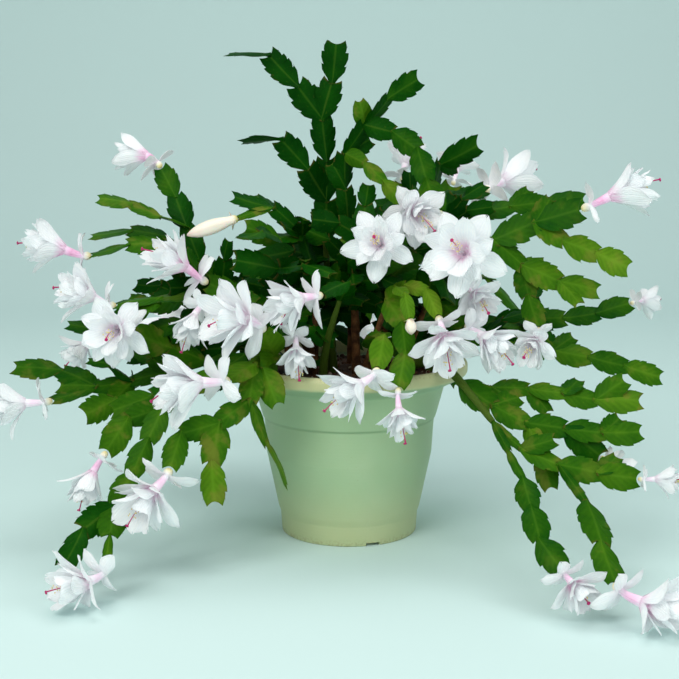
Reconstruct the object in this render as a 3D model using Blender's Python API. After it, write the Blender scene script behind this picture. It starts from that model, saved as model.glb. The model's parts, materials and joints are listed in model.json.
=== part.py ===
"""Potted Christmas cactus (Schlumbergera) in a plain round nursery pot.

Z is up and the origin is the centre of the pot's flat base. The drawing numbers are millimetres, and
MM turns them into metres. The pot and the soil are turned profiles. Each plant stem is a woody trunk
that stands in its own hole in the soil and carries chains of flat toothed segments. Each bloom and
bud is a solid of its own at the end of a chain. The plan below gives the points that every stem, bloom
and bud passes through.
"""

import math
import random
from typing import NamedTuple

import bmesh
import bpy
from mathutils import Vector

MM = 0.001
GAP = 0.3  # between two pieces that meet

# ---- pot and soil ------------------------------------------------------------------------------
POT_HEIGHT = 148.0
LIP_RADIUS = 100.0
LIP_BAND = 11.0  # height of the lip's outer face
COLLAR_TOP_RADIUS = 81.0
COLLAR_FOOT_RADIUS = 73.5
COLLAR_FOOT_Z = 100.0
FOOT_RADIUS = 58.2
FOOT_RING = 17.0  # height of the near-upright ring at the foot
WALL = 2.2
FLOOR = 3.0
POT_SIDES = 24
DRAIN_HOLES = 4
DRAIN_RADIUS = 5.0
DRAIN_CIRCLE = 38.0
FOOT_NOTCHES = 3
FOOT_NOTCH = (10.0, 6.0, 2.4)  # width, depth and height of a drainage notch
SOIL_TOP = 136.0
SOIL_SIDES = 17
SOIL_WAVE = 1.6
STEM_SINK = 14.0  # how deep a trunk stands in the soil

# ---- plant -------------------------------------------------------------------------------------
SEGMENT_HALF_WIDTH = 12.0
SEGMENT_LENGTH = 34.0  # the length that SEGMENT_HALF_WIDTH belongs to
RIDGE = 1.7  # half thickness of a segment along its midrib
NECK_WIDE = 1.9
NECK_THICK = 1.5
SINK = 2.5  # how far a chain starts inside what it grows from
SLIM = 0.36  # how wide a narrow, stem-like segment is, for a usual one of 1
WOBBLE = 0.3  # how far a segment's facing strays from its shoot's, for a facing of length 1
BUD_SIDES = 6
HOLE_SIDES = 5
TUBE_SIDES = 5  # a bloom's tube has one side for each petal of a whorl
PETAL_THICK = 1.4  # along a petal's middle
BLOOM_GAP = 0.5
BLOOM_LENGTH = 56.0  # the length, base to mouth, that the petals' sizes belong to
SAG = 0.55  # how strongly the petals of a half open bloom hang down
SAG_FREE = 1.35  # a bloom of this openness has petals that don't hang
PETAL_SPACE = 0.68  # the half width that fits five petals side by side, at 1 away from the axis
LEAN = 0.4  # how far an inner petal leans into the gap between two others
SOFT_FLOOR = 16.0  # below this height the plant flattens out onto the floor

# The rings of a bloom's tube: part of its length, radius. The ovary swells, and the last is the stigma.
BLOOM_RINGS = ((0.0, 1.9), (0.13, 3.6), (0.21, 3.1), (0.42, 3.7), (0.49, 4.4), (0.57, 4.4), (1.05, 0.9))

# Directions that a bloom's petals are set out from: the one that lies most across the bloom.
TOPS = (Vector((0.05, 0.1, 1.0)).normalized(), Vector((0.1, 1.0, 0.2)).normalized())

# One side of a segment's toothed outline: part of its length, part of its half width.
SEGMENT_OUTLINE = ((0.30, 0.72), (0.60, 1.0), (0.66, 0.78), (1.05, 0.58))
FIRST_OUTLINE = ((0.66, 1.0), (0.72, 0.80), (1.05, 0.58))  # a shoot's first segment, slim at its foot

FRONT = (0.0, -1.0, 0.15)
UP = (0.0, -0.35, 1.0)
SIDE = (1.0, -0.25, 0.1)
TILT = (0.0, -0.8, 0.6)
LEVEL = (0.0, 0.1, 1.0)
HALF = (0.75, -0.7, 0.1)


class Shoot(NamedTuple):
    """A chain of flat segments: how many, which way they face and the points it grows through."""

    name: str
    segments: int
    face: tuple
    points: tuple
    scale: float = 1.0
    last_face: tuple = ()
    slim: tuple = ()  # the numbers of its narrow, stem-like segments


class Stem(NamedTuple):
    """A trunk in its hole in the soil, with the shoots that it carries."""

    name: str
    hole: tuple
    radius: float
    trunk: tuple
    shoots: tuple


class Bloom(NamedTuple):
    """A flower at the end of a shoot: points halfway along it and at its mouth, and its openness."""

    name: str
    shoot: str
    middle: tuple
    mouth: tuple
    spread: float = 1.0
    size: float = 1.0


class Bud(NamedTuple):
    """A closed bud at the end of a shoot."""

    name: str
    shoot: str
    tip: tuple
    radius: float


STEMS = (
    Stem("stem_tall_centre", (-14, 6), 4.6, ((-17, 6, 190), (-20, 6, 247)), (
        Shoot("crown", 6, FRONT, ((-20, 6, 247), (-19, 2, 305), (-22, 0, 346), (-45, -4, 377),
                                  (-66, -2, 399), (-99, 6, 400)), 1.0, LEVEL),
        Shoot("crown_right", 2, FRONT, ((-22, 0, 346), (-14, -3, 379), (-11, -2, 409))),
        Shoot("crown_side", 3, FRONT, ((-20, 4, 275), (-38, -6, 312), (-55, -10, 331),
                                       (-88, -6, 329)), 1.0, LEVEL),
    )),
    Stem("stem_upper_right", (6, -8), 4.4, ((4, -8, 200), (-2, -4, 262)), (
        Shoot("upper", 5, HALF, ((-2, -4, 262), (-4, -8, 321), (15, -12, 346), (35, -14, 368),
                                 (56, -10, 380))),
        Shoot("upper_round", 1, FRONT, ((15, -12, 346), (8, -18, 362)), 0.9),
        Shoot("upper_droop", 4, FRONT, ((16, -13, 347), (44, -24, 334), (56, -30, 321), (62, -36, 298),
                                        (71, -38, 275))),
        Shoot("upper_bright", 3, FRONT, ((-4, -8, 312), (17, -20, 309), (42, -28, 281)), 0.8),
        Shoot("upper_front", 2, TILT, ((2, -6, 236), (12, -34, 252), (23, -58, 248))),
    )),
    Stem("stem_right_high", (30, 20), 4.0, ((31, 16, 175), (36, 14, 214)), (
        Shoot("high", 6, TILT, ((36, 14, 214), (82, 24, 261), (132, 34, 272), (165, 38, 276),
                                (202, 38, 279))),
        Shoot("high_back", 2, TILT, ((82, 24, 261), (94, 42, 283), (117, 60, 286))),
        Shoot("high_hook", 3, SIDE, ((66, 20, 246), (74, 40, 300), (87, 46, 320), (111, 48, 326))),
    )),
    Stem("stem_right_mid", (44, -10), 4.2, ((52, -14, 165), (65, -20, 200)), (
        Shoot("mid", 4, TILT, ((65, -20, 200), (115, -40, 251), (147, -48, 266), (183, -54, 277))),
        Shoot("mid_bright", 3, TILT, ((147, -48, 266), (178, -56, 247), (202, -56, 240),
                                      (222, -54, 230))),
        Shoot("mid_low", 3, TILT, ((115, -41, 249), (142, -50, 229), (171, -56, 218), (198, -56, 212))),
        Shoot("mid_hang", 2, FRONT, ((140, -50, 230), (144, -58, 202), (150, -62, 184))),
        Shoot("mid_face", 2, TILT, ((65, -20, 200), (68, -50, 236), (86, -76, 241))),
        Shoot("mid_face_low", 2, TILT, ((65, -20, 200), (86, -28, 218), (92, -46, 214))),
        Shoot("mid_drop", 2, FRONT, ((65, -20, 200), (80, -46, 196), (92, -66, 186))),
    )),
    Stem("stem_right_low", (58, 24), 3.8, ((62, 22, 152), (68, 18, 170)), (
        Shoot("low", 6, TILT, ((68, 18, 170), (122, 30, 174), (199, 38, 177), (224, 42, 182),
                             (246, 46, 188))),
    )),
    Stem("stem_right_trail", (68, -2), 3.6, ((72, -3, 154), (80, -4, 166)), (
        Shoot("trail_high", 6, TILT, ((80, -4, 166), (109, -12, 168), (167, -20, 158), (215, -26, 149),
                                    (258, -26, 136))),
    )),
    Stem("stem_front_right", (44, -40), 4.8, ((54, -50, 152), (72, -68, 156), (87, -92, 144),
                                              (109, -118, 119)), (
        Shoot("arm_upper", 4, TILT, ((109, -118, 119), (124, -126, 103), (164, -136, 87),
                                     (193, -138, 83), (217, -137, 79)), slim=(0,)),
        Shoot("arm_lower", 5, FRONT, ((109, -118, 119), (126, -146, 88), (131, -166, 75),
                                      (134, -188, 52), (149, -209, 32)), slim=(0, 1)),
        Shoot("arm_mid", 3, FRONT, ((166, -137, 86), (174, -160, 68), (180, -196, 45),
                                    (184, -226, 28)), slim=(0,)),
        Shoot("trail_upper", 5, TILT, ((80, -80, 150), (111, -82, 138), (159, -86, 137),
                                       (188, -84, 127), (217, -80, 144)), slim=(0,)),
        Shoot("trail_end", 1, TILT, ((192, -84, 128), (228, -88, 129))),
        Shoot("trail_low", 5, TILT, ((88, -93, 143), (129, -108, 118), (172, -110, 111),
                                     (199, -110, 108), (225, -106, 108))),
        Shoot("trail_dip", 1, FRONT, ((172, -110, 110), (194, -110, 90))),
        Shoot("trail_drop", 2, FRONT, ((145, -109, 115), (149, -124, 88), (153, -128, 69)), 0.8),
    )),
    Stem("stem_front_centre", (12, -44), 3.8, ((18, -52, 165), (30, -64, 206)), (
        Shoot("bright_left", 3, FRONT, ((30, -64, 206), (40, -86, 220), (46, -98, 196)), 0.75),
        Shoot("hang_left", 3, FRONT, ((18, -52, 165), (22, -78, 184), (26, -98, 180),
                                      (21, -111, 160)), 0.9),
        Shoot("hang_right", 3, FRONT, ((30, -64, 206), (42, -86, 187), (43, -100, 172),
                                       (37, -114, 145)), 0.9),
        Shoot("bright_right", 3, FRONT, ((30, -64, 206), (54, -78, 222), (68, -88, 197)), 0.75),
    )),
    Stem("stem_front_left", (-22, -40), 4.0, ((-18, -48, 170), (-8, -58, 205)), (
        Shoot("cross", 2, UP, ((-8, -58, 205), (-2, -82, 222), (-21, -92, 214)), 0.9),
        Shoot("cross_low", 2, UP, ((-18, -48, 168), (-32, -62, 184), (-40, -76, 180)), 0.8),
    )),
    Stem("stem_left_high", (-30, -14), 4.2, ((-28, -16, 180), (-28, -18, 222)), (
        Shoot("arch", 3, UP, ((-28, -18, 222), (-38, -20, 252), (-65, -27, 278), (-94, -29, 285))),
        Shoot("arch_bud", 1, TILT, ((-66, -27, 277), (-90, -44, 269)), 0.9, slim=(0,)),
        Shoot("arch_olive", 2, TILT, ((-34, -19, 238), (-54, -38, 251), (-83, -50, 262))),
        Shoot("arch_shade", 3, FRONT, ((-28, -17, 216), (-49, -12, 211), (-73, -14, 199),
                                       (-98, -10, 200))),
        Shoot("arch_dark", 2, FRONT, ((-28, -18, 222), (-60, -40, 228), (-92, -50, 236))),
    )),
    Stem("stem_left_upper", (-42, 20), 4.4, ((-52, 18, 160), (-84, 12, 190)), (
        Shoot("rise", 5, FRONT, ((-84, 12, 190), (-119, 8, 218), (-137, 14, 257), (-149, 26, 286),
                                (-161, 38, 306))),
        Shoot("rise_low", 4, TILT, ((-84, 12, 190), (-139, 10, 198), (-169, 6, 192), (-195, 2, 182))),
        Shoot("rise_left", 3, UP, ((-137, 13, 256), (-159, 4, 267), (-184, 0, 278), (-208, -2, 282))),
        Shoot("rise_far", 4, UP, ((-119, 8, 217), (-143, -8, 240), (-177, -14, 246), (-212, -18, 237))),
        Shoot("rise_fan", 3, UP, ((-130, 10, 238), (-166, 16, 254), (-196, 18, 252), (-218, 18, 249))),
    )),
    Stem("stem_left_mid", (-50, -20), 4.0, ((-51, -24, 160), (-54, -30, 181)), (
        Shoot("left", 2, TILT, ((-54, -30, 181), (-85, -44, 203), (-113, -55, 218))),
        Shoot("left_out", 3, UP, ((-85, -44, 202), (-128, -42, 206), (-161, -46, 203),
                                  (-188, -46, 199))),
        Shoot("left_under", 3, TILT, ((-85, -44, 202), (-112, -36, 189), (-138, -38, 183),
                                      (-162, -42, 178))),
        Shoot("left_drop", 1, TILT, ((-85, -44, 200), (-112, -72, 204)), 0.9),
    )),
    Stem("stem_left_low", (-70, -4), 4.0, ((-76, -10, 152), (-92, -22, 161)), (
        Shoot("spread", 5, UP, ((-92, -22, 161), (-131, -38, 146), (-172, -40, 137), (-209, -38, 130),
                                (-239, -34, 130))),
        Shoot("spread_shade", 3, TILT, ((-92, -22, 161), (-126, -6, 156), (-156, 4, 158),
                                        (-188, 6, 149))),
        Shoot("spread_far", 2, UP, ((-210, -38, 130), (-240, -18, 140), (-280, -14, 142))),
        Shoot("spread_turn", 1, UP, ((-208, -40, 130), (-241, -52, 122)), 0.9),
        Shoot("spread_front", 2, FRONT, ((-172, -42, 136), (-186, -58, 126), (-212, -70, 114))),
        Shoot("spread_upper", 4, UP, ((-131, -34, 148), (-173, -16, 160), (-206, -14, 172),
                                      (-234, -14, 178))),
        Shoot("spread_face", 2, TILT, ((-125, -36, 149), (-150, -46, 166), (-172, -62, 178))),
        Shoot("spread_back", 1, UP, ((-190, -15, 166), (-214, 4, 166)), 0.8),
    )),
    Stem("stem_left_front", (-44, -52), 4.2, ((-50, -60, 154), (-60, -74, 164)), (
        Shoot("edge_up", 1, FRONT, ((-60, -74, 164), (-67, -97, 186))),
        Shoot("edge_bloom", 2, TILT, ((-60, -74, 164), (-78, -104, 158), (-92, -118, 152))),
        Shoot("edge_mass", 2, FRONT, ((-60, -74, 164), (-66, -100, 156), (-56, -114, 132))),
        Shoot("edge_down", 4, FRONT, ((-78, -104, 156), (-80, -118, 130), (-113, -128, 116),
                                      (-134, -133, 110), (-136, -138, 88))),
        Shoot("edge_tip", 2, FRONT, ((-106, -126, 119), (-105, -132, 90), (-103, -136, 60))),
        Shoot("edge_rod", 2, SIDE, ((-79, -114, 134), (-63, -104, 93), (-50, -98, 64)), 0.7),
    )),
    Stem("stem_left_trail", (-64, -32), 4.0, ((-70, -40, 152), (-84, -62, 161)), (
        Shoot("fall", 8, TILT, ((-84, -62, 161), (-116, -92, 144), (-146, -110, 126), (-158, -122, 96),
                                (-169, -132, 76), (-177, -146, 60), (-178, -166, 44),
                                (-178, -188, 26)), slim=(7,)),
        Shoot("fall_side", 2, TILT, ((-130, -101, 137), (-162, -94, 132), (-186, -92, 122))),
        Shoot("fall_bloom", 2, FRONT, ((-146, -109, 127), (-168, -104, 122), (-189, -106, 93))),
        Shoot("fall_toothed", 2, FRONT, ((-177, -146, 60), (-194, -154, 50), (-206, -166, 38),
                                         (-210, -176, 24))),
    )),
    Stem("stem_back_left", (-34, 54), 4.0, ((-44, 64, 160), (-60, 82, 196)), (
        Shoot("back_arch", 3, UP, ((-60, 82, 196), (-100, 118, 222), (-140, 150, 205),
                                   (-164, 168, 172))),
        Shoot("back_side", 3, UP, ((-60, 82, 196), (-98, 90, 176), (-140, 102, 152), (-170, 110, 120))),
    )),
    Stem("stem_back_mid", (2, 42), 4.2, ((2, 52, 180), (0, 64, 222)), (
        Shoot("rear", 4, UP, ((0, 64, 222), (6, 110, 246), (10, 150, 226), (12, 180, 190),
                              (14, 200, 150))),
        Shoot("rear_left", 3, UP, ((0, 64, 222), (-30, 98, 240), (-60, 128, 236), (-86, 150, 216))),
    )),
    Stem("stem_back_right", (26, 58), 4.0, ((34, 66, 170), (46, 78, 220)), (
        Shoot("rear_right", 2, FRONT, ((46, 78, 220), (56, 98, 256), (50, 116, 290))),
        Shoot("rear_out", 2, FRONT, ((46, 78, 220), (78, 94, 256), (94, 106, 288))),
        Shoot("rear_low", 3, UP, ((46, 78, 220), (90, 108, 222), (130, 128, 200), (160, 138, 168))),
    )),
)

BLOOMS = (
    Bloom("bloom_far_left", "rise_far", (-237, -22, 252), (-269, -26, 248), 0.3),
    Bloom("bloom_left_top", "rise", (-178, 46, 326), (-197, 52, 309), 0.2),
    Bloom("bloom_left_mid", "left", (-132, -66, 241), (-160, -74, 247), 0.45),
    Bloom("bloom_left_out", "left_out", (-209, -56, 217), (-233, -66, 216), 0.5, 1.05),
    Bloom("bloom_left_hidden", "spread_back", (-226, 6, 160), (-240, 2, 142), 0.9),
    Bloom("bloom_left_face", "spread_face", (-186, -88, 188), (-186, -110, 182), 1.1, 1.1),
    Bloom("bloom_left_edge", "edge_up", (-84, -112, 205), (-104, -130, 196), 0.75, 1.25),
    Bloom("bloom_left_drop", "left_drop", (-123, -86, 198), (-130, -98, 172), 0.25),
    Bloom("bloom_centre_left", "cross", (-42, -104, 226), (-52, -114, 196), 0.5),
    Bloom("bloom_centre_low", "cross_low", (-40, -94, 172), (-39, -106, 150), 0.45, 0.95),
    Bloom("bloom_front_left", "edge_bloom", (-120, -134, 162), (-145, -146, 143), 0.4, 1.15),
    Bloom("bloom_left_end", "spread_turn", (-266, -56, 124), (-296, -60, 117), 0.5),
    Bloom("bloom_fall_upper", "fall_bloom", (-202, -114, 83), (-208, -124, 53), 0.35),
    Bloom("bloom_fall_front", "edge_down", (-151, -153, 78), (-163, -171, 55), 1.0, 1.15),
    Bloom("bloom_fall_low", "fall", (-192, -207, 22), (-214, -216, 18), 1.0, 1.2),
    Bloom("bloom_front_centre", "hang_left", (7, -122, 160), (-18, -140, 134), 0.5),
    Bloom("bloom_front_right", "hang_right", (37, -124, 129), (41, -134, 108), 0.75),
    Bloom("bloom_centre", "upper_front", (20, -84, 254), (18, -112, 260), 1.1),
    Bloom("bloom_centre_high", "upper_bright", (48, -62, 284), (64, -84, 264), 0.45),
    Bloom("bloom_face", "mid_face", (88, -100, 243), (76, -124, 258), 1.2, 1.25),
    Bloom("bloom_face_low", "mid_face_low", (102, -68, 210), (107, -87, 200), 0.7),
    Bloom("bloom_centre_right", "bright_right", (71, -102, 188), (75, -122, 162), 1.0, 1.15),
    Bloom("bloom_right_drop", "mid_drop", (108, -88, 184), (124, -102, 163), 0.4),
    Bloom("bloom_right_hang", "mid_hang", (144, -78, 175), (135, -98, 166), 0.8),
    Bloom("bloom_right_back", "high_back", (139, 80, 296), (167, 96, 303), 0.5, 1.1),
    Bloom("bloom_back_centre", "rear_right", (52, 130, 313), (66, 142, 329), 0.8),
    Bloom("bloom_back_right", "rear_out", (98, 118, 305), (104, 126, 324), 0.8),
    Bloom("bloom_far_right", "mid", (213, -58, 294), (241, -60, 300), 0.2),
    Bloom("bloom_right_low", "low", (256, 54, 190), (276, 64, 190), 0.6, 0.8),
    Bloom("bloom_arm_upper", "arm_upper", (229, -140, 82), (250, -142, 79), 0.3, 0.8),
    Bloom("bloom_arm_hidden", "trail_dip", (206, -100, 82), (222, -90, 70), 0.7, 0.8),
    Bloom("bloom_arm_lower", "arm_lower", (157, -223, 25), (163, -240, 19), 0.8, 1.1),
    Bloom("bloom_arm_mid", "arm_mid", (210, -250, 19), (235, -266, 15), 0.7, 1.0),
    Bloom("bloom_back_arch", "back_arch", (-176, 184, 150), (-190, 196, 126), 0.9),
    Bloom("bloom_rear", "rear", (16, 212, 124), (20, 222, 98), 0.9),
)

BUDS = (
    Bud("bud_large", "arch_bud", (-130, -50, 256), 6.0),
    Bud("bud_centre", "upper_droop", (74, -38, 260), 5.0),
    Bud("bud_front", "bright_left", (47, -102, 184), 4.5),
)


# ---- Blender helpers ---------------------------------------------------------------------------
def clear_scene() -> None:
    """Remove every object, so the script can be run again in the same file."""
    for item in list(bpy.data.objects):
        bpy.data.objects.remove(item, do_unlink=True)


def principled(name: str, colour: tuple, roughness: float) -> bpy.types.Material:
    """Return a plain Principled material."""
    material = bpy.data.materials.new(name)
    material.use_nodes = True
    shader = material.node_tree.nodes["Principled BSDF"]
    shader.inputs["Base Color"].default_value = (*colour, 1.0)
    shader.inputs["Roughness"].default_value = roughness
    shader.inputs["Metallic"].default_value = 0.0
    return material


def mesh_object(name: str, points: list, faces: list, material: bpy.types.Material) -> bpy.types.Object:
    """Return an object made from points in millimetres, with its faces turned outward."""
    mesh = bpy.data.meshes.new(name)
    mesh.from_pydata([tuple(MM * value for value in point) for point in points], [], faces)
    work = bmesh.new()
    work.from_mesh(mesh)
    bmesh.ops.triangulate(work, faces=work.faces[:])
    bmesh.ops.recalc_face_normals(work, faces=work.faces[:])
    work.to_mesh(mesh)
    work.free()
    mesh.materials.append(material)
    item = bpy.data.objects.new(name, mesh)
    bpy.context.collection.objects.link(item)
    return item


def apply_modifiers(item: bpy.types.Object) -> None:
    """Bake an object's modifiers into its own mesh."""
    evaluated = item.evaluated_get(bpy.context.evaluated_depsgraph_get())
    mesh = bpy.data.meshes.new_from_object(evaluated)
    item.modifiers.clear()
    item.data = mesh


def combine(item: bpy.types.Object, others: list, operation: str, solver: str = "EXACT") -> None:
    """Join others to an object, or cut them from it, as one applied Boolean on a collection."""
    group = bpy.data.collections.new(item.name + "_operands")
    bpy.context.scene.collection.children.link(group)
    for other in others:
        for holder in list(other.users_collection):
            holder.objects.unlink(other)
        group.objects.link(other)
    boolean = item.modifiers.new("combine", "BOOLEAN")
    boolean.operation = operation
    boolean.solver = solver
    boolean.operand_type = "COLLECTION"
    boolean.collection = group
    apply_modifiers(item)
    for other in others:
        bpy.data.objects.remove(other, do_unlink=True)
    bpy.data.collections.remove(group)


def turned(profile: list, sides: int) -> tuple:
    """Return points and faces of a profile of (radius, height) turned about Z; radius 0 is a pole."""
    points, rings, faces = [], [], []
    for radius, height in profile:
        if radius == 0.0:
            rings.append([len(points)] * sides)
            points.append((0.0, 0.0, height))
            continue
        rings.append([len(points) + side for side in range(sides)])
        for side in range(sides):
            angle = math.tau * side / sides
            points.append((radius * math.cos(angle), radius * math.sin(angle), height))
    for low, high in zip(rings, rings[1:]):
        for side in range(sides):
            after = (side + 1) % sides
            corners = [low[side], low[after], high[after], high[side]]
            faces.append(list(dict.fromkeys(corners)))
    return points, faces


def cylinder(radius: float, bottom: float, top: float, centre: tuple, sides: int) -> bpy.types.Object:
    """Return an upright cylinder, for cutting a hole."""
    points, faces = turned([(0.0, bottom), (radius, bottom), (radius, top), (0.0, top)], sides)
    points = [(x + centre[0], y + centre[1], z) for x, y, z in points]
    return mesh_object("cutter", points, faces, MATERIALS["soil"])


# ---- pot and soil ------------------------------------------------------------------------------
def pot_outside() -> list:
    """Return the pot's outer profile from the base centre to the lip's top edge."""
    body_top = COLLAR_FOOT_RADIUS - 1.3
    return [
        (0.0, 0.0), (FOOT_RADIUS - 0.8, 0.0), (FOOT_RADIUS + 0.4, FOOT_RING),
        (FOOT_RADIUS + 2.2, FOOT_RING + 5.0), (70.2, 69.0), (body_top, COLLAR_FOOT_Z - 1.0),
        (COLLAR_FOOT_RADIUS, COLLAR_FOOT_Z), (COLLAR_TOP_RADIUS, POT_HEIGHT - LIP_BAND - 9.0),
        (LIP_RADIUS - 1.0, POT_HEIGHT - LIP_BAND), (LIP_RADIUS, POT_HEIGHT - LIP_BAND + 2.0),
        (LIP_RADIUS, POT_HEIGHT - 3.0), (LIP_RADIUS - 2.0, POT_HEIGHT),
    ]


def pot_inside() -> list:
    """Return the pot's inner profile from the lip down to the floor's centre."""
    return [
        (LIP_RADIUS - 6.0, POT_HEIGHT), (LIP_RADIUS - 11.0, POT_HEIGHT - LIP_BAND - 1.0),
        (COLLAR_TOP_RADIUS - WALL, POT_HEIGHT - LIP_BAND - 8.0),
        (COLLAR_FOOT_RADIUS - WALL - 1.2, COLLAR_FOOT_Z),
        (FOOT_RADIUS - WALL - 1.0, FLOOR), (0.0, FLOOR),
    ]


def build_pot() -> bpy.types.Object:
    """Build the pot with its drain holes and the notches in its foot."""
    points, faces = turned(pot_outside() + pot_inside(), POT_SIDES)
    pot = mesh_object("pot", points, faces, MATERIALS["pot"])
    cutters = []
    width, depth, height = FOOT_NOTCH
    for index in range(DRAIN_HOLES):
        angle = math.tau * (index + 0.5) / DRAIN_HOLES
        centre = (DRAIN_CIRCLE * math.cos(angle), DRAIN_CIRCLE * math.sin(angle))
        cutters.append(cylinder(DRAIN_RADIUS, -1.0, FLOOR + 1.0, centre, 8))
    for index in range(FOOT_NOTCHES):
        angle = math.tau * index / FOOT_NOTCHES - 0.39 * math.pi
        forward = Vector((math.cos(angle), math.sin(angle), 0.0))
        across = Vector((-forward.y, forward.x, 0.0))
        corners = [
            tuple(forward * reach + across * side + Vector((0.0, 0.0, level)))
            for level in (-1.0, height)
            for reach, side in ((FOOT_RADIUS - 1.6, -width / 2), (FOOT_RADIUS + depth, -width / 2),
                                (FOOT_RADIUS + depth, width / 2), (FOOT_RADIUS - 1.6, width / 2))
        ]
        box = [(0, 1, 2, 3), (4, 5, 6, 7), (0, 1, 5, 4), (1, 2, 6, 5), (2, 3, 7, 6), (3, 0, 4, 7)]
        cutters.append(mesh_object("cutter", corners, box, MATERIALS["pot"]))
    combine(pot, cutters, "DIFFERENCE")
    return pot


def soil_radius(height: float) -> float:
    """Return the soil's radius at a height: inside the flats of the pot's wall, less the gap."""
    inside = sorted(pot_inside(), key=lambda corner: corner[1])
    radius = inside[1][0]
    for (low_radius, low), (high_radius, high) in zip(inside[1:], inside[2:]):
        if low <= height <= high:
            radius = low_radius + (high_radius - low_radius) * (height - low) / (high - low)
    return radius * math.cos(math.pi / POT_SIDES) - GAP


def build_soil() -> bpy.types.Object:
    """Build the soil that fills the pot, with a plain hole for each trunk."""
    levels = (FLOOR + GAP, COLLAR_FOOT_Z, POT_HEIGHT - LIP_BAND - 8.0)
    edge = SOIL_TOP - 1.0
    profile = [(0.0, levels[0])] + [(soil_radius(level), level) for level in levels]
    profile += [(soil_radius(edge), edge), (64.0, SOIL_TOP), (30.0, SOIL_TOP), (0.0, SOIL_TOP)]
    points, faces = turned(profile, SOIL_SIDES)
    draw = random.Random(5)
    points = [
        (x, y, z + draw.uniform(-SOIL_WAVE, SOIL_WAVE)) if z >= SOIL_TOP else (x, y, z)
        for x, y, z in points
    ]
    soil = mesh_object("soil", points, faces, MATERIALS["soil"])
    holes = [
        cylinder(stem.radius + 1.2, SOIL_TOP - STEM_SINK - 1.0, SOIL_TOP + 6.0, stem.hole, HOLE_SIDES)
        for stem in STEMS
    ]
    combine(soil, holes, "DIFFERENCE", "MANIFOLD")
    return soil


# ---- geometry of the plant ---------------------------------------------------------------------
def on_floor(point: Vector) -> Vector:
    """Ease a point that nears the floor so that it ends up lying just above it."""
    if point.z >= SOFT_FLOOR:
        return point
    return Vector((point.x, point.y, SOFT_FLOOR * math.exp((point.z - SOFT_FLOOR) / SOFT_FLOOR)))


def through(knots: list, count: int) -> list:
    """Return count + 1 points evenly spaced on a smooth curve through the given points."""
    padded = [2.0 * knots[0] - knots[1]] + knots + [2.0 * knots[-1] - knots[-2]]
    dense = []
    for first, start, end, last in zip(padded, padded[1:], padded[2:], padded[3:]):
        for step in range(16):
            t = step / 16
            dense.append(0.5 * (2.0 * start + (end - first) * t
                                + (2.0 * first - 5.0 * start + 4.0 * end - last) * t * t
                                + (3.0 * start - first - 3.0 * end + last) * t * t * t))
    dense.append(knots[-1])
    lengths = [0.0]
    for start, end in zip(dense, dense[1:]):
        lengths.append(lengths[-1] + (end - start).length)
    spaced = []
    for index in range(count + 1):
        target = lengths[-1] * index / count
        place = max(k for k in range(len(dense)) if lengths[k] <= target + 1e-9)
        if place == len(dense) - 1:
            spaced.append(dense[-1])
            continue
        part = (target - lengths[place]) / (lengths[place + 1] - lengths[place])
        spaced.append(dense[place].lerp(dense[place + 1], part))
    return spaced


def grow(stem: Stem) -> dict:
    """Return the joints of each shoot; it starts at the joint or trunk point nearest its first point."""
    joints = {}
    places = [Vector(point) for point in stem.trunk]
    for shoot in stem.shoots:
        knots = [Vector(point) for point in shoot.points]
        knots[0] = min(places, key=lambda place: (place - knots[0]).length)
        joints[shoot.name] = through(knots, shoot.segments)
        places += joints[shoot.name]
    return joints


def side_vector(along: Vector, face: Vector) -> Vector:
    """Return the direction across a blade that runs along one vector and faces another."""
    across = along.cross(face)
    if across.length < 0.15:
        across = along.cross(Vector((0.3, 1.0, 0.2)))
    return across.normalized()


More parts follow.
